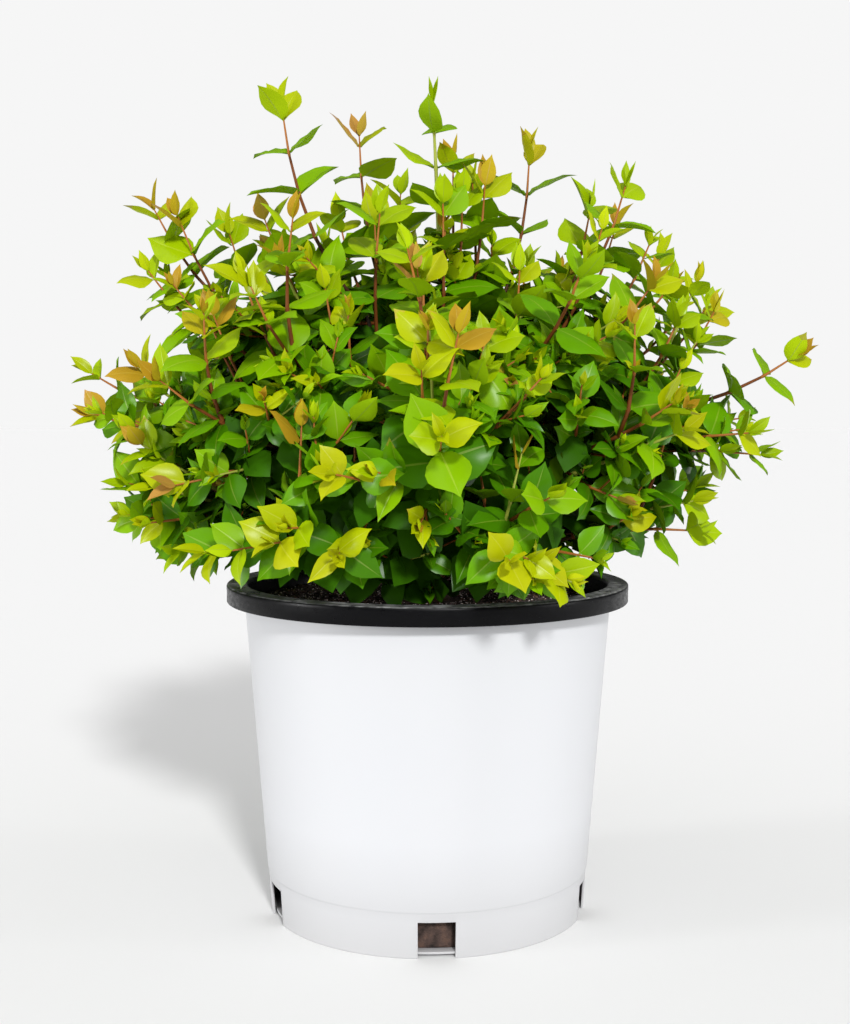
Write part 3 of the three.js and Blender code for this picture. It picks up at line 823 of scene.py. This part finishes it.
def turn_faces(bm, outward_of):
    """Each face of an open sheet points the way that outward_of gives for its centre."""
    bm.normal_update()
    ways = [(face, outward_of(face.calc_center_median())) for face in bm.faces]
    bmesh.ops.reverse_faces(bm, faces=[face for face, way in ways if face.normal.dot(way) < 0])


def with_values(thing, **values):
    """The same thing, with its values set."""
    for name, value in values.items():
        setattr(thing, name, value)
    return thing


# Materials


def new_material(name, colour, roughness, specular=0.5):
    material = bpy.data.materials.new(name)
    material.use_nodes = True
    inputs = material.node_tree.nodes["Principled BSDF"].inputs
    inputs["Base Color"].default_value = (*colour, 1.0)
    inputs["Roughness"].default_value = roughness
    inputs["Specular IOR Level"].default_value = specular
    return material


def feed(material, socket, output):
    """Links an output to a socket of the material's shader."""
    shader = material.node_tree.nodes["Principled BSDF"]
    material.node_tree.links.new(output, shader.inputs[socket])


def add_node(tree, kind, inputs=(), **values):
    """A new node with its values set, and its inputs linked or set as (name, output or value)."""
    node = with_values(tree.nodes.new(kind), **values)
    for name, value in inputs:
        if isinstance(value, bpy.types.NodeSocket):
            tree.links.new(value, node.inputs[name])
        else:
            node.inputs[name].default_value = value
    return node


def mixed(tree, factor, below, above):
    """A mix of two colours, each given as an output or as red, green, blue and alpha."""
    inputs = (("Factor", factor), (6, below), (7, above))
    return add_node(tree, "ShaderNodeMix", inputs, data_type="RGBA").outputs[2]


def grain_group():
    """Shared by plastic, soil and bark: two sizes of noise on Object coordinates."""
    group = bpy.data.node_groups.get("grain")
    if group:
        return group
    group = bpy.data.node_groups.new("grain", "ShaderNodeTree")
    sockets = (
        ("INPUT", "Coarse Scale", "NodeSocketFloat"),
        ("INPUT", "Fine Scale", "NodeSocketFloat"),
        ("INPUT", "Stretch", "NodeSocketVector"),
        ("OUTPUT", "Patches", "NodeSocketFloat"),
        ("OUTPUT", "Fine", "NodeSocketFloat"),
    )
    for way, name, kind in sockets:
        group.interface.new_socket(name=name, in_out=way, socket_type=kind)
    into, out = add_node(group, "NodeGroupInput"), add_node(group, "NodeGroupOutput")
    place = add_node(group, "ShaderNodeTexCoord").outputs["Object"]
    inputs = ((0, place), (1, into.outputs["Stretch"]))
    stretch = add_node(group, "ShaderNodeVectorMath", inputs, operation="MULTIPLY").outputs[0]
    for scale, detail, result in (("Coarse Scale", 4.0, "Patches"), ("Fine Scale", 2.0, "Fine")):
        inputs = (("Vector", stretch), ("Scale", into.outputs[scale]), ("Detail", detail))
        texture = add_node(group, "ShaderNodeTexNoise", inputs)
        group.links.new(texture.outputs["Fac"], out.inputs[result])
    return group


def ramp(material, source, stops):
    """Colours along a factor, as (place, colour) stops, where a grey may be one number."""
    node = add_node(material.node_tree, "ShaderNodeValToRGB", [("Fac", source)])
    elements = node.color_ramp.elements
    while len(elements) < len(stops):
        elements.new(0.5)
    for element, (place, colour) in zip(elements, stops):
        element.position = place
        element.color = (*(colour if isinstance(colour, tuple) else (colour,) * 3), 1.0)
    return node.outputs["Color"]


def tinted(colour, share, other):
    return tuple(lerp(a, b, share) for a, b in zip(colour, other))


def grained(name, colour, roughness, scales, tones, bump, specular=0.5):
    """A material whose colour follows the patches of the grain, by stops of place, share and other
    colour, and whose bumps of a strength and height follow its fine part."""
    material = new_material(name, colour, roughness, specular)
    tree = material.node_tree
    names = ("Coarse Scale", "Fine Scale", "Stretch")
    grain = add_node(tree, "ShaderNodeGroup", node_tree=grain_group())
    for socket, value in zip(names, scales):
        grain.inputs[socket].default_value = value
    patches = grain.outputs["Patches"]
    stops = [(place, tinted(colour, share, other)) for place, share, other in tones]
    toned = ramp(material, patches, stops)
    feed(material, "Base Color", toned)
    height, (strength, distance) = grain.outputs["Fine"], bump
    inputs = (("Strength", strength), ("Distance", distance), ("Height", height))
    feed(material, "Normal", add_node(tree, "ShaderNodeBump", inputs).outputs["Normal"])
    return material, patches, toned


def wear_and_painted_light(material, patches, toned, rough, source, stops, below):
    """Roughness from patch to patch, and another colour where the Z of the source is low: on the pot
    a painted shade at the foot, on the rim the plain black below the scuffed top with its painted
    sheen.
    """
    tree = material.node_tree
    feed(material, "Roughness", ramp(material, patches, ((0.3, rough[0]), (0.7, rough[1]))))
    height = add_node(tree, "ShaderNodeSeparateXYZ", [(0, source)]).outputs["Z"]
    mask = ramp(material, height, ((stops[0], 0.0), (stops[1], 1.0)))
    feed(material, "Base Color", mixed(tree, mask, (*below, 1.0), toned))
    return material


def pot_material(sizes):
    """White plastic in faint cool patches, darker towards the ground as painted shade."""
    tones = ((0.3, 0.05, COOL_WHITE), (0.7, 0.0, COOL_WHITE))
    scales, bump = (9.0, 900.0, (1.0, 1.0, 1.0)), (0.06, 0.0003)
    made = grained("white_pot_plastic", sizes.wall_colour, 0.42, scales, tones, bump)
    place = add_node(made[0].node_tree, "ShaderNodeTexCoord").outputs["Object"]
    # The foot fades to a darker grey over its lowest 75 mm: painted shade near the ground.
    return wear_and_painted_light(*made, (0.36, 0.5), place, (0.0, 0.075), FOOT_SHADE)


def rim_material(sizes):
    """Black plastic, scuffed where it faces up, and lighter there and on its rounded top edge as a
    painted sheen.
    """
    tones = ((0.35, 0.08, SCUFF_AND_SHEEN), (0.55, 0.3, SCUFF_AND_SHEEN), (0.7, 0.62, SCUFF_AND_SHEEN))
    scales, bump = (170.0, 1400.0, (1.0, 1.0, 2.5)), (0.15, 0.0004)
    made = grained("black_rim_plastic", sizes.rim_colour, 0.4, scales, tones, bump, 0.12)
    normal = add_node(made[0].node_tree, "ShaderNodeNewGeometry").outputs["Normal"]
    # Faces that point up get the scuffed grey: partly real scuffs, partly a painted sheen.
    return wear_and_painted_light(*made, (0.24, 0.45), normal, (0.5, 0.9), sizes.rim_colour)


def soil_material(sizes):
    tones = ((0.3, 0.75, BLACK), (0.55, 0.0, BLACK), (0.75, 0.2, WARM_CRUMB))
    scales, bump = (140.0, 700.0, (1.0, 1.0, 1.0)), (0.8, 0.0012)
    return grained("potting_soil", sizes.soil_colour, 0.95, scales, tones, bump)[0]


def bark_material(sizes):
    tones = ((0.35, 0.6, DARK_BARK), (0.6, 0.0, DARK_BARK), (0.78, 0.35, PALE_BARK))
    scales, bump = (60.0, 900.0, (1.0, 1.0, 0.3)), (0.4, 0.0006)
    return grained("young_bark", sizes.bark_colour, 0.6, scales, tones, bump)[0]


def under_colour(colour):
    """The underside of a leaf is paler and duller than its face, and brightened further as painted
    light that shines through it.
    """
    paler = tinted(colour, 0.1 + 0.4 * colour[1], LEAF_UNDER)
    # Raising it by its green is a painted glow of light shining through.
    return tuple(value * (1 + 0.5 * colour[1]) for value in paler)


def leaf_materials(name, colour, shine):
    """The face, underside, midrib and reddened edge of a leaf."""
    return (
        new_material(f"leaf_{name}", colour, shine, 0.12),
        new_material(f"leaf_{name}_under", under_colour(colour), 0.6, 0.04),
        new_material(f"leaf_{name}_rib", tinted(colour, 0.09, LEAF_RIB), 0.45),
        new_material(f"leaf_{name}_flush", tinted(colour, 0.34, LEAF_FLUSH), 0.4),
    )


# Settings that a user would change


def colour_setting(name, description, default):
    return FloatVectorProperty(
        name=name, description=description, default=default, subtype="COLOR", min=0.0, max=1.0
    )


def length_setting(name, description, default):
    return FloatProperty(name=name, description=description, default=default, unit="LENGTH", min=0.0)


def count_setting(name, description, default):
    return IntProperty(name=name, description=description, default=default, min=0)


class PotSettings(bpy.types.PropertyGroup):
    """Sizes and colours of the pot, its rim and the soil."""

    height: length_setting("Height", "Height of the pot with its rim", 0.230)
    foot_radius: length_setting("Foot radius", "Outer radius of the wall at the ground", 0.1105)
    lip_radius: length_setting("Lip radius", "Outer radius of the wall under the rim", 0.1283)
    wall: length_setting("Wall", "Thickness of the pot's wall", 0.0016)
    rim_radius: length_setting("Rim radius", "Outer radius of the black rim", 0.140)
    rim_height: length_setting("Rim height", "Height of the rim's outer skirt", 0.0125)
    notch_height: length_setting("Notch height", "Height of the drain notches in the foot", 0.024)
    notches: count_setting("Notches", "How many drain notches", 5)
    wall_colour: colour_setting("Wall colour", "White plastic", (0.555, 0.56, 0.577))
    rim_colour: colour_setting("Rim colour", "Black plastic", (0.001, 0.001, 0.0016))
    soil_colour: colour_setting("Soil colour", "Damp potting soil", (0.075, 0.046, 0.037))
    speck_colour: colour_setting("Speck colour", "White specks in the soil", (0.88, 0.76, 0.73))


class ShrubSettings(bpy.types.PropertyGroup):
    """Sizes and colours of the stems and leaves."""

    leaf_length: length_setting("Leaf length", "Length of a full-grown leaf", 0.0345)
    node_spacing: length_setting("Node spacing", "Distance between two pairs of leaves", 0.0255)
    side_shoots: count_setting("Side shoots", "On each main stem", 5)
    finer_twigs: count_setting("Finer twigs", "On each side shoot", 2)
    inner_twigs: count_setting("Inner twigs", "Leafy twigs inside the crown", 5)
    axil_share: FloatProperty(
        name="Axil leaves", description="Share of the nodes with a pair of tiny leaves",
        default=0.2, min=0.0, max=1.0, subtype="FACTOR",
    )
    bark_colour: colour_setting("Bark", "Older stems", (0.062, 0.028, 0.011))
    stem_red: colour_setting("Red stem", "Younger stems", (0.172, 0.049, 0.010))
    stem_tender: colour_setting("Tender stem", "The last few centimetres", (0.33, 0.115, 0.020))
    stem_green: colour_setting("Green stem", "A few shoots that stay green", (0.30, 0.34, 0.045))
    # Greens from deep to gold lime, dealt out by depth and height in the crown as painted shade and
    # light.
    deep: colour_setting("Deep green", "Leaves deep inside", (0.028, 0.102, 0.002))
    dark: colour_setting("Dark green", "Leaves inside", (0.048, 0.164, 0.001))
    mid: colour_setting("Mid green", "Leaves between inside and outside", (0.098, 0.262, 0.001))
    bright: colour_setting("Bright green", "Outer leaves", (0.175, 0.346, 0.001))
    lime: colour_setting("Lime", "Outer leaves near the tips", (0.272, 0.398, 0.001))
    gold_lime: colour_setting("Gold lime", "Leaves at the tips", (0.338, 0.404, 0.001))
    yellow: colour_setting("Yellow", "Yellow young leaves", (0.365, 0.395, 0.002))
    amber: colour_setting("Amber", "Olive orange young leaves", (0.375, 0.330, 0.005))
    bronze: colour_setting("Bronze", "Orange young leaves", (0.370, 0.225, 0.012))
    rose: colour_setting("Rose", "Reddish young leaves", (0.400, 0.215, 0.040))


class StudioSettings(bpy.types.PropertyGroup):
    """The floor, the light and the camera."""

    floor_size: length_setting("Floor size", "Width of the pale floor", 60.0)
    backdrop: colour_setting("Backdrop", "Colour of the surroundings", (0.922, 0.922, 0.922))
    floor_colour: colour_setting("Floor colour", "Colour of the floor", (0.78, 0.78, 0.78))
    camera_distance: length_setting("Camera distance", "From the pot's axis", 1.0)
    camera_height: length_setting("Camera height", "Above the floor", 0.348)


def wall_radius(sizes, height):
    """Outer radius of the pot's wall at a height, in millimetres."""
    wall_top = sizes.height / MM - RIM_THICKNESS
    return lerp(sizes.foot_radius / MM, sizes.lip_radius / MM, height / wall_top)


# Pieces


class SHRUB_OT_studio(bpy.types.Operator):
    """Make the pale floor, the soft light and the camera"""

    bl_idname = "shrub.studio"
    bl_label = "Studio"

    # Azimuth from the front, height and breadth in degrees, and strength on a face square to it.
    LAMPS = (
        ("key_light", 13, 29, 7, 0.82),
        ("left_fill", -74, 6, 12, 0.48),
        ("right_fill", 80, 6, 12, 0.24),
    )
    SOFTBOX_WAY = (-0.30, -0.55, 0.78)
    SOFTBOX = (("From Min", 0.80), ("From Max", 0.93), ("To Min", 0.10), ("To Max", 2.6))

    def light_surroundings(self, tree, studio):
        """An even pale surround, dimmer as a light than it looks, with one soft box for the gloss."""
        rays = add_node(tree, "ShaderNodeLightPath").outputs
        way = add_node(tree, "ShaderNodeTexCoord").outputs["Generated"]
        inputs = ((0, way), (1, Vector(self.SOFTBOX_WAY).normalized()))
        near = add_node(tree, "ShaderNodeVectorMath", inputs, operation="DOT_PRODUCT")
        inputs = (("Value", near.outputs["Value"]), *self.SOFTBOX)
        softbox = add_node(tree, "ShaderNodeMapRange", inputs, interpolation_type="SMOOTHSTEP")
        lamps = sum(lamp[4] * math.sin(math.radians(lamp[2])) for lamp in self.LAMPS)
        tone = studio.backdrop[1] / studio.floor_colour[1] - lamps
        light = (tone, tone, tone, 1.0)
        glossy = mixed(tree, rays["Is Glossy Ray"], light, softbox.outputs["Result"])
        seen = mixed(tree, rays["Is Camera Ray"], glossy, (*studio.backdrop, 1.0))
        tree.links.new(seen, tree.nodes["Background"].inputs["Color"])

    def execute(self, context):
        scene, studio = context.scene, context.scene.studio_settings
        bm = bmesh.new()
        bmesh.ops.create_grid(bm, x_segments=2, y_segments=2, size=studio.floor_size / 2 / MM)
        material = new_material("pale_floor", studio.floor_colour, 1.0, 0.0)
        floor = object_from(bm, "floor", [material])

        scene.world = with_values(bpy.data.worlds.new("pale_surroundings"), use_nodes=True)
        self.light_surroundings(scene.world.node_tree, studio)

        for name, azimuth, height, angle, strength in self.LAMPS:
            light = bpy.data.lights.new(name, "SUN")
            with_values(light, angle=math.radians(angle), energy=math.pi * strength)
            lamp = bpy.data.objects.new(name, light)
            rise = math.radians(height)
            way = heading(azimuth) * math.cos(rise) + UP * math.sin(rise)
            lamp.rotation_euler = Vector(way).to_track_quat("Z", "Y").to_euler()
            scene.collection.objects.link(lamp)

        lens = bpy.data.cameras.new("camera")
        with_values(lens, lens=50.27, sensor_width=36.0, clip_start=0.05, clip_end=100.0)
        camera = bpy.data.objects.new("camera", lens)
        camera.location = (-0.0017, -studio.camera_distance, studio.camera_height)
        camera.rotation_euler = (math.radians(86.0), 0.0, 0.0)
        scene.collection.objects.link(camera)
        scene.camera = camera
        scene.view_settings.view_transform = "Standard"
        return {"FINISHED"}


class SHRUB_OT_pot(bpy.types.Operator):
    """Make the white pot with its foot band and drain notches"""

    bl_idname = "shrub.pot"
    bl_label = "Pot"

    def execute(self, context):
        sizes = context.scene.pot_settings
        foot, notch_top = sizes.foot_radius / MM, sizes.notch_height / MM
        lip = sizes.height / MM - RIM_THICKNESS - SEAT_GAP
        band = wall_radius(sizes, BAND_TOP) - 0.5
        heights = (0.0, 0.8, 12.0, notch_top, BAND_TOP - 0.4)
        profile = [(lerp(foot, band, z / BAND_TOP), z) for z in heights]
        profile.append((band + 0.12, BAND_TOP))
        profile.append((wall_radius(sizes, BAND_TOP + 0.5) - 0.1, BAND_TOP + 0.5))
        heights = (BAND_TOP + 1.2, *np.linspace(BAND_TOP + 15, lip, 9))
        profile += [(wall_radius(sizes, z), z) for z in heights]
        half_notch = 360 / WALL_SEGMENTS * NOTCH_SEGMENTS / 2
        bm = spun(profile, WALL_SEGMENTS, NOTCH_AZIMUTH + half_notch)
        turn_faces(bm, lambda centre: Vector((centre.x, centre.y, 0)))
        windows = []
        for face in bm.faces:
            centre = face.calc_center_median()
            azimuth = math.degrees(math.atan2(centre.x, -centre.y)) - NOTCH_AZIMUTH
            apart = 360 / max(sizes.notches, 1)
            off = (azimuth + apart / 2) % apart - apart / 2
            if sizes.notches and centre.z < notch_top and abs(off) < half_notch:
                windows.append(face)
        bmesh.ops.delete(bm, geom=windows, context="FACES")

        floor = spun([(0.01, 0.0), (88, 0.0), (90, 2.0), (foot - 2.4, 2.0)], WALL_SEGMENTS)
        turn_faces(floor, lambda centre: Vector((0, 0, -1)))
        floor_mesh = bpy.data.meshes.new("pot_floor")
        floor.to_mesh(floor_mesh)
        floor.free()
        bm.from_mesh(floor_mesh)
        bpy.data.meshes.remove(floor_mesh)

        pot = object_from(bm, "pot_shell", [pot_material(sizes)])
        walls = pot.modifiers.new("wall", "SOLIDIFY")
        with_values(walls, thickness=sizes.wall, offset=-1.0, use_even_offset=True)
        edges = pot.modifiers.new("edges", "BEVEL")
        with_values(edges, width=0.00035, segments=2, limit_method="ANGLE")
        edges.angle_limit = math.radians(50)
        settle(pot, "pot", "pot")
        return {"FINISHED"}


class SHRUB_OT_rim(bpy.types.Operator):
    """Make the black rim with its flat top, skirt and liner"""

    bl_idname = "shrub.rim"
    bl_label = "Rim"

    def execute(self, context):
        sizes = context.scene.pot_settings
        top, outer = sizes.height / MM, sizes.rim_radius / MM
        skirt_foot = top - sizes.rim_height / MM
        under, liner_foot = top - RIM_THICKNESS, top - LINER_DEPTH
        liner_top, liner_end = [
            wall_radius(sizes, height) - sizes.wall / MM - SEAT_GAP for height in (under, liner_foot)
        ]
        profile = [
            (liner_end - 1.2, liner_foot), (liner_end, liner_foot), (liner_top, under),
            (outer - 2.0, under), (outer - 2.0, skirt_foot + 0.2), (outer - 1.6, skirt_foot),
            (outer - 0.5, skirt_foot), (outer - 0.1, skirt_foot + 0.6), (outer - 0.15, top - 5.0),
            (outer, top - 3.4), (outer, top - 1.5), (outer - 0.35, top - 0.6),
            (outer - 1.1, top - 0.1), (outer - 2.0, top), (outer - 4.5, top - 0.35),
            (liner_top + 2.2, top - 0.35), (liner_top + 0.9, top - 0.05),
            (liner_top + 0.1, top - 0.2), (liner_top - 0.8, top - 0.9),
            (liner_top - 1.2, top - 2.2), (liner_end - 1.2, liner_foot),
        ]
        bm = spun(profile, WALL_SEGMENTS)
        bmesh.ops.recalc_face_normals(bm, faces=bm.faces)
        for vert in bm.verts:
            azimuth = math.atan2(vert.co.y, vert.co.x)
            wobble = 0.12 * math.sin(3 * azimuth + 0.7) + 0.08 * math.sin(7 * azimuth)
            if vert.co.z > top - 2.4:
                vert.co.z -= 0.12 + 0.5 * abs(wobble)
        rim = object_from(bm, "rim_ring", [rim_material(sizes)], 40)
        settle(rim, "rim", "rim")
        return {"FINISHED"}


def crumb(random, flat):
    """One crumb of soil: a small ball of twenty faces, pulled out of shape."""
    bm = bmesh.new()
    bmesh.ops.create_icosphere(bm, subdivisions=1, radius=1.0)
    for vert in bm.verts:
        vert.co *= lerp(0.65, 1.25, random())
    turn = Matrix.Rotation(random() * math.tau, 4, "Z")
    turn = turn @ Matrix.Rotation(lerp(-0.6, 0.6, random()), 4, "X")
    bmesh.ops.scale(bm, vec=(1.0, lerp(0.5, 0.9, random()), flat), verts=bm.verts)
    bmesh.ops.transform(bm, matrix=turn, verts=bm.verts)
    return corners_and_faces(bm)[:2]


def soil_height(x, y):
    """Height of the soil over its flat top, in millimetres."""
    lumps = noise.noise(Vector((x, y, 0.0)) / 26) * 1.5
    crumbs = noise.noise(Vector((x, y, 7.0)) / 5) * 0.9
    return lumps + crumbs + 1.6


class SHRUB_OT_soil(bpy.types.Operator):
    """Make the soil bed with loose crumbs and white specks"""

    bl_idname = "shrub.soil"
    bl_label = "Soil"

    def execute(self, context):
        sizes = context.scene.pot_settings

        def soil_radius(height):
            return wall_radius(sizes, height) - SOIL_GAP

        edge = soil_radius(SOIL_TOP)
        profile = [(0.01, SOIL_FOOT), (soil_radius(SOIL_FOOT) - FOOT_GAP, SOIL_FOOT)]
        profile += [(soil_radius(z) - NOTCH_GAP, z) for z in range(7, 32, 4)]
        profile += [(soil_radius(z), z) for z in (38, 90, 150, SOIL_TOP - 2.5)]
        profile += [(radius, SOIL_TOP) for radius in np.linspace(edge, 0.01, 44)]
        bm = spun(profile, 132)
        bmesh.ops.recalc_face_normals(bm, faces=bm.faces)
        for vert in bm.verts:
            x, y, z = vert.co
            if z > SOIL_TOP - 1:
                vert.co.z += soil_height(x, y)
            elif 5 < z < 60:
                rough = 1 + noise.noise(vert.co / 4) * 0.012
                vert.co.x *= rough
                vert.co.y *= rough
        bed = object_from(bm, "soil_bed", [soil_material(sizes)])
        settle(bed, "soil", "soil")
        self.scatter_crumbs(sizes, edge - 4)
        return {"FINISHED"}

    def scatter_crumbs(self, sizes, edge):
        """Loose crumbs of soil and bark, and white specks, on top of the bed."""
        random = seeded_random(SEED * 7)
        shapes = [crumb(random, lerp(0.4, 0.8, random())) for _ in range(CRUMB_SHAPES)]
        chip = new_material("bark_chip", tinted(sizes.soil_colour, 0.35, CHIP), 0.85)
        speck = new_material("white_speck", sizes.speck_colour, 0.8)
        crumbs = []
        for _ in range(CRUMBS):
            out = edge * math.sqrt(lerp(0.04, 1.0, random()))
            angle = random() * math.tau
            x, y = out * math.cos(angle), out * math.sin(angle)
            corners, faces = picked(shapes, random())
            dice = random()
            colour = 2 if dice < 0.3 else 1 if dice < 0.55 else 0
            size = lerp(0.4, 1.0, random()) if colour == 2 else lerp(0.6, 1.9, random() ** 2)
            turn = random() * math.tau
            cos, sin = math.cos(turn), math.sin(turn)
            turned = corners @ np.array(((cos, sin, 0), (-sin, cos, 0), (0, 0, 1)))
            place = np.array((x, y, SOIL_TOP + soil_height(x, y) + size * 0.3))
            crumbs.append((turned * size + place, faces, [colour] * len(faces)))
        loose = joined("soil_crumbs", crumbs, [soil_material(sizes), chip, speck], smooth=False)
        settle(loose, "soil")


def bark_relief(mesh, depth):
    """Pushes a mesh's corners in and out along their normals, in long narrow ridges."""
    normals = [vert.normal.copy() for vert in mesh.vertices]
    for vert, normal in zip(mesh.vertices, normals):
        x, y, z = vert.co / MM
        ridges = noise.noise(Vector((x * 0.9, y * 0.9, z * 0.12)))
        knots = noise.noise(Vector((x * 0.2, y * 0.2, z * 0.25)))
        vert.co += normal * (ridges * depth + knots * depth * 0.6) * MM


class SHRUB_OT_stems(bpy.types.Operator):
    """Make the woody base and the main stems, with the relief of their bark"""

    bl_idname = "shrub.stems"
    bl_label = "Stems"

    BARK_DEPTH = 0.28
    JOINT_SPACING, JOINT_SWELLING = 26.0, 0.22

    # The rounded top of the base: radius and height as shares of the whole base's.
    BASE_TOP = ((0.78, 0.9), (0.45, 0.98))

    def boughs(self, context):
        """The mesh of the main stems up to their masses, in metres."""
        shrub = grown_shrub(context)
        curve = bpy.data.curves.new("main_stems", "CURVE")
        with_values(curve, dimensions="3D", bevel_depth=1.0, bevel_resolution=3, use_fill_caps=True)
        for line, entry in zip(shrub.lines, shrub.entries):
            steps = max(int(line.length * entry / 4), 6)
            spline = curve.splines.new("POLY")
            spline.points.add(steps)
            for i, point in enumerate(spline.points):
                share = entry * i / steps
                joint = math.cos(share * line.length / self.JOINT_SPACING * math.tau)
                swelling = 1.0 + self.JOINT_SWELLING * max(joint, 0) ** 12
                point.co = (*(line.at(share) * MM), 1.0)
                point.radius = limb_radius(share) * swelling * MM
        holder = bpy.data.objects.new("main_stems", curve)
        context.scene.collection.objects.link(holder)
        context.view_layer.update()
        evaluated = holder.evaluated_get(context.evaluated_depsgraph_get())
        tubes = bpy.data.meshes.new_from_object(evaluated)
        bpy.data.objects.remove(holder)
        return tubes

    def execute(self, context):
        tubes = self.boughs(context)
        foot = SOIL_TOP + SEAT_GAP
        profile = [
            (0.01, foot),
            (FLARE_RADIUS, foot),
            (FLARE_RADIUS * 0.92, foot + 1.2),
            (FLARE_RADIUS * 0.8, foot + FLARE_HEIGHT * 0.4),
            (BASE_RADIUS + 0.6, foot + FLARE_HEIGHT),
        ]
        shares = [(lerp(1.0, 0.93, share), share) for share in (0.4, 0.55, 0.7, 0.8)]
        for wide, high in (*shares, *self.BASE_TOP):
            profile.append((BASE_RADIUS * wide, foot + BASE_HEIGHT * high))
        bm = spun([*profile, (0.01, foot + BASE_HEIGHT)], 40)
        bmesh.ops.recalc_face_normals(bm, faces=bm.faces)
        long_edges = [edge for edge in bm.edges if edge.calc_length() > 4]
        bmesh.ops.subdivide_edges(bm, edges=long_edges, cuts=1, use_grid_fill=True)
        bmesh.ops.scale(bm, vec=(MM, MM, MM), verts=bm.verts)
        bm.from_mesh(tubes)
        bpy.data.meshes.remove(tubes)
        bmesh.ops.scale(bm, vec=(1 / MM, 1 / MM, 1 / MM), verts=bm.verts)
        stems = object_from(bm, "stems", [bark_material(context.scene.shrub_settings)])
        bark_relief(stems.data, self.BARK_DEPTH)
        settle(stems, "bark", "trunk", *BOUGHS)
        return {"FINISHED"}


class SHRUB_OT_twigs(bpy.types.Operator):
    """Make the leading shoots, side shoots and finer twigs"""

    bl_idname = "shrub.twigs"
    bl_label = "Twigs"

    # How far from the tip a shoot stays tender and then red, and the barks in their order.
    TENDER_END, RED_END = 34.0, 105.0
    TENDER, RED, OLD, GREEN = 0, 1, 2, 3

    # A node is a swelling between two places of the shoot's own radius.
    NODE_SHAPE = ((-2.2, 1.0), (0.0, 1.32), (2.2, 1.0))

    def twig(self, shoot):
        """The corners, faces and face colours of one shoot's stem."""
        total = shoot.line.length - shoot.end
        marks = {0.0: 0.8, total: 1.0}
        for distance in shoot.nodes:
            for offset, swelling in self.NODE_SHAPE:
                if 1 < distance + offset < total - 1:
                    marks[distance + offset] = swelling
        distances = sorted(marks, reverse=True)
        points = [shoot.line.at(shoot.share_at(distance)) for distance in distances]
        radii = []
        for distance in distances:
            tapered = lerp(TWIG_TIP_RADIUS, shoot.foot_radius, (distance / total) ** 0.8)
            slender = TWIG_TIP_RADIUS + shoot.thickening * distance
            radii.append(marks[distance] * min(tapered, slender))
        corners, faces, starts = swept(points, radii, 6 if total > 90 else 5)
        tones = []
        for distance in (distances[start] for start in starts):
            young = self.TENDER if distance < self.TENDER_END else self.RED
            young = self.GREEN if shoot.green else young
            tones.append(young if distance < self.RED_END else self.OLD)
        return corners, faces, tones

    def execute(self, context):
        colours = context.scene.shrub_settings
        barks = (
            ("stem_tender", colours.stem_tender, 0.45),
            ("stem_red", colours.stem_red, 0.5),
            ("stem_old", colours.bark_colour, 0.6),
            ("stem_green", colours.stem_green, 0.45),
        )
        materials = [new_material(*bark, 0.2) for bark in barks]
        parts = [self.twig(shoot) for shoot in grown_shrub(context).shoots]
        settle(joined("twigs", parts, materials), "bark", *MASSES)
        return {"FINISHED"}


class SHRUB_OT_leaves(bpy.types.Operator):
    """Make the leaves, one piece for each colour"""

    bl_idname = "shrub.leaves"
    bl_label = "Leaves"

    def execute(self, context):
        shrub = grown_shrub(context)
        colours = context.scene.shrub_settings
        kinds = [kind for kind, (_, count) in BLADE_KINDS.items() for _ in range(count)]
        blades = [leaf_blade(*shape, kind) for shape, kind in zip(BLADE_SHAPES, kinds)]
        for tint in TINTS:
            parts = []
            for place, direction, normal, size, breadth, blade in shrub.leaves[tint]:
                corners, faces, tones = blades[blade]
                side = np.cross(direction, normal)
                axes = np.array((side * breadth, direction, normal)) * size
                parts.append((corners @ axes + place, faces, tones))
            if not parts:
                continue
            shine = 0.30 if tint in INNER_TO_OUTER else 0.38
            materials = leaf_materials(tint, getattr(colours, tint), shine)
            settle(joined(f"leaves_{tint}", parts, materials), "leaves", *MASSES)
        return {"FINISHED"}


class SHRUB_PT_panel(bpy.types.Panel):
    """Lists the pieces and their settings"""

    bl_idname = "SHRUB_PT_panel"
    bl_label = "Potted abelia"
    bl_space_type = "VIEW_3D"
    bl_region_type = "UI"
    bl_category = "Potted abelia"

    def draw(self, context):
        for name, group in SETTINGS:
            box = self.layout.box()
            for setting in group.__annotations__:
                box.prop(getattr(context.scene, name), setting)
        for operator in OPERATORS:
            self.layout.operator(operator.bl_idname)


SETTINGS = (
    ("studio_settings", StudioSettings),
    ("pot_settings", PotSettings),
    ("shrub_settings", ShrubSettings),
)
OPERATORS = (
    SHRUB_OT_studio,
    SHRUB_OT_pot,
    SHRUB_OT_rim,
    SHRUB_OT_soil,
    SHRUB_OT_stems,
    SHRUB_OT_twigs,
    SHRUB_OT_leaves,
)


def register():
    for name, group in SETTINGS:
        bpy.utils.register_class(group)
        setattr(bpy.types.Scene, name, PointerProperty(type=group))
    for operator in OPERATORS:
        bpy.utils.register_class(operator)
    bpy.utils.register_class(SHRUB_PT_panel)


def unregister():
    bpy.utils.unregister_class(SHRUB_PT_panel)
    for operator in reversed(OPERATORS):
        bpy.utils.unregister_class(operator)
    for name, group in reversed(SETTINGS):
        delattr(bpy.types.Scene, name)
        bpy.utils.unregister_class(group)


def main():
    register()
    bpy.ops.shrub.studio()
    bpy.ops.shrub.pot()
    bpy.ops.shrub.rim()
    bpy.ops.shrub.soil()
    bpy.ops.shrub.stems()
    bpy.ops.shrub.twigs()
    bpy.ops.shrub.leaves()


if __name__ == "__main__":
    main()
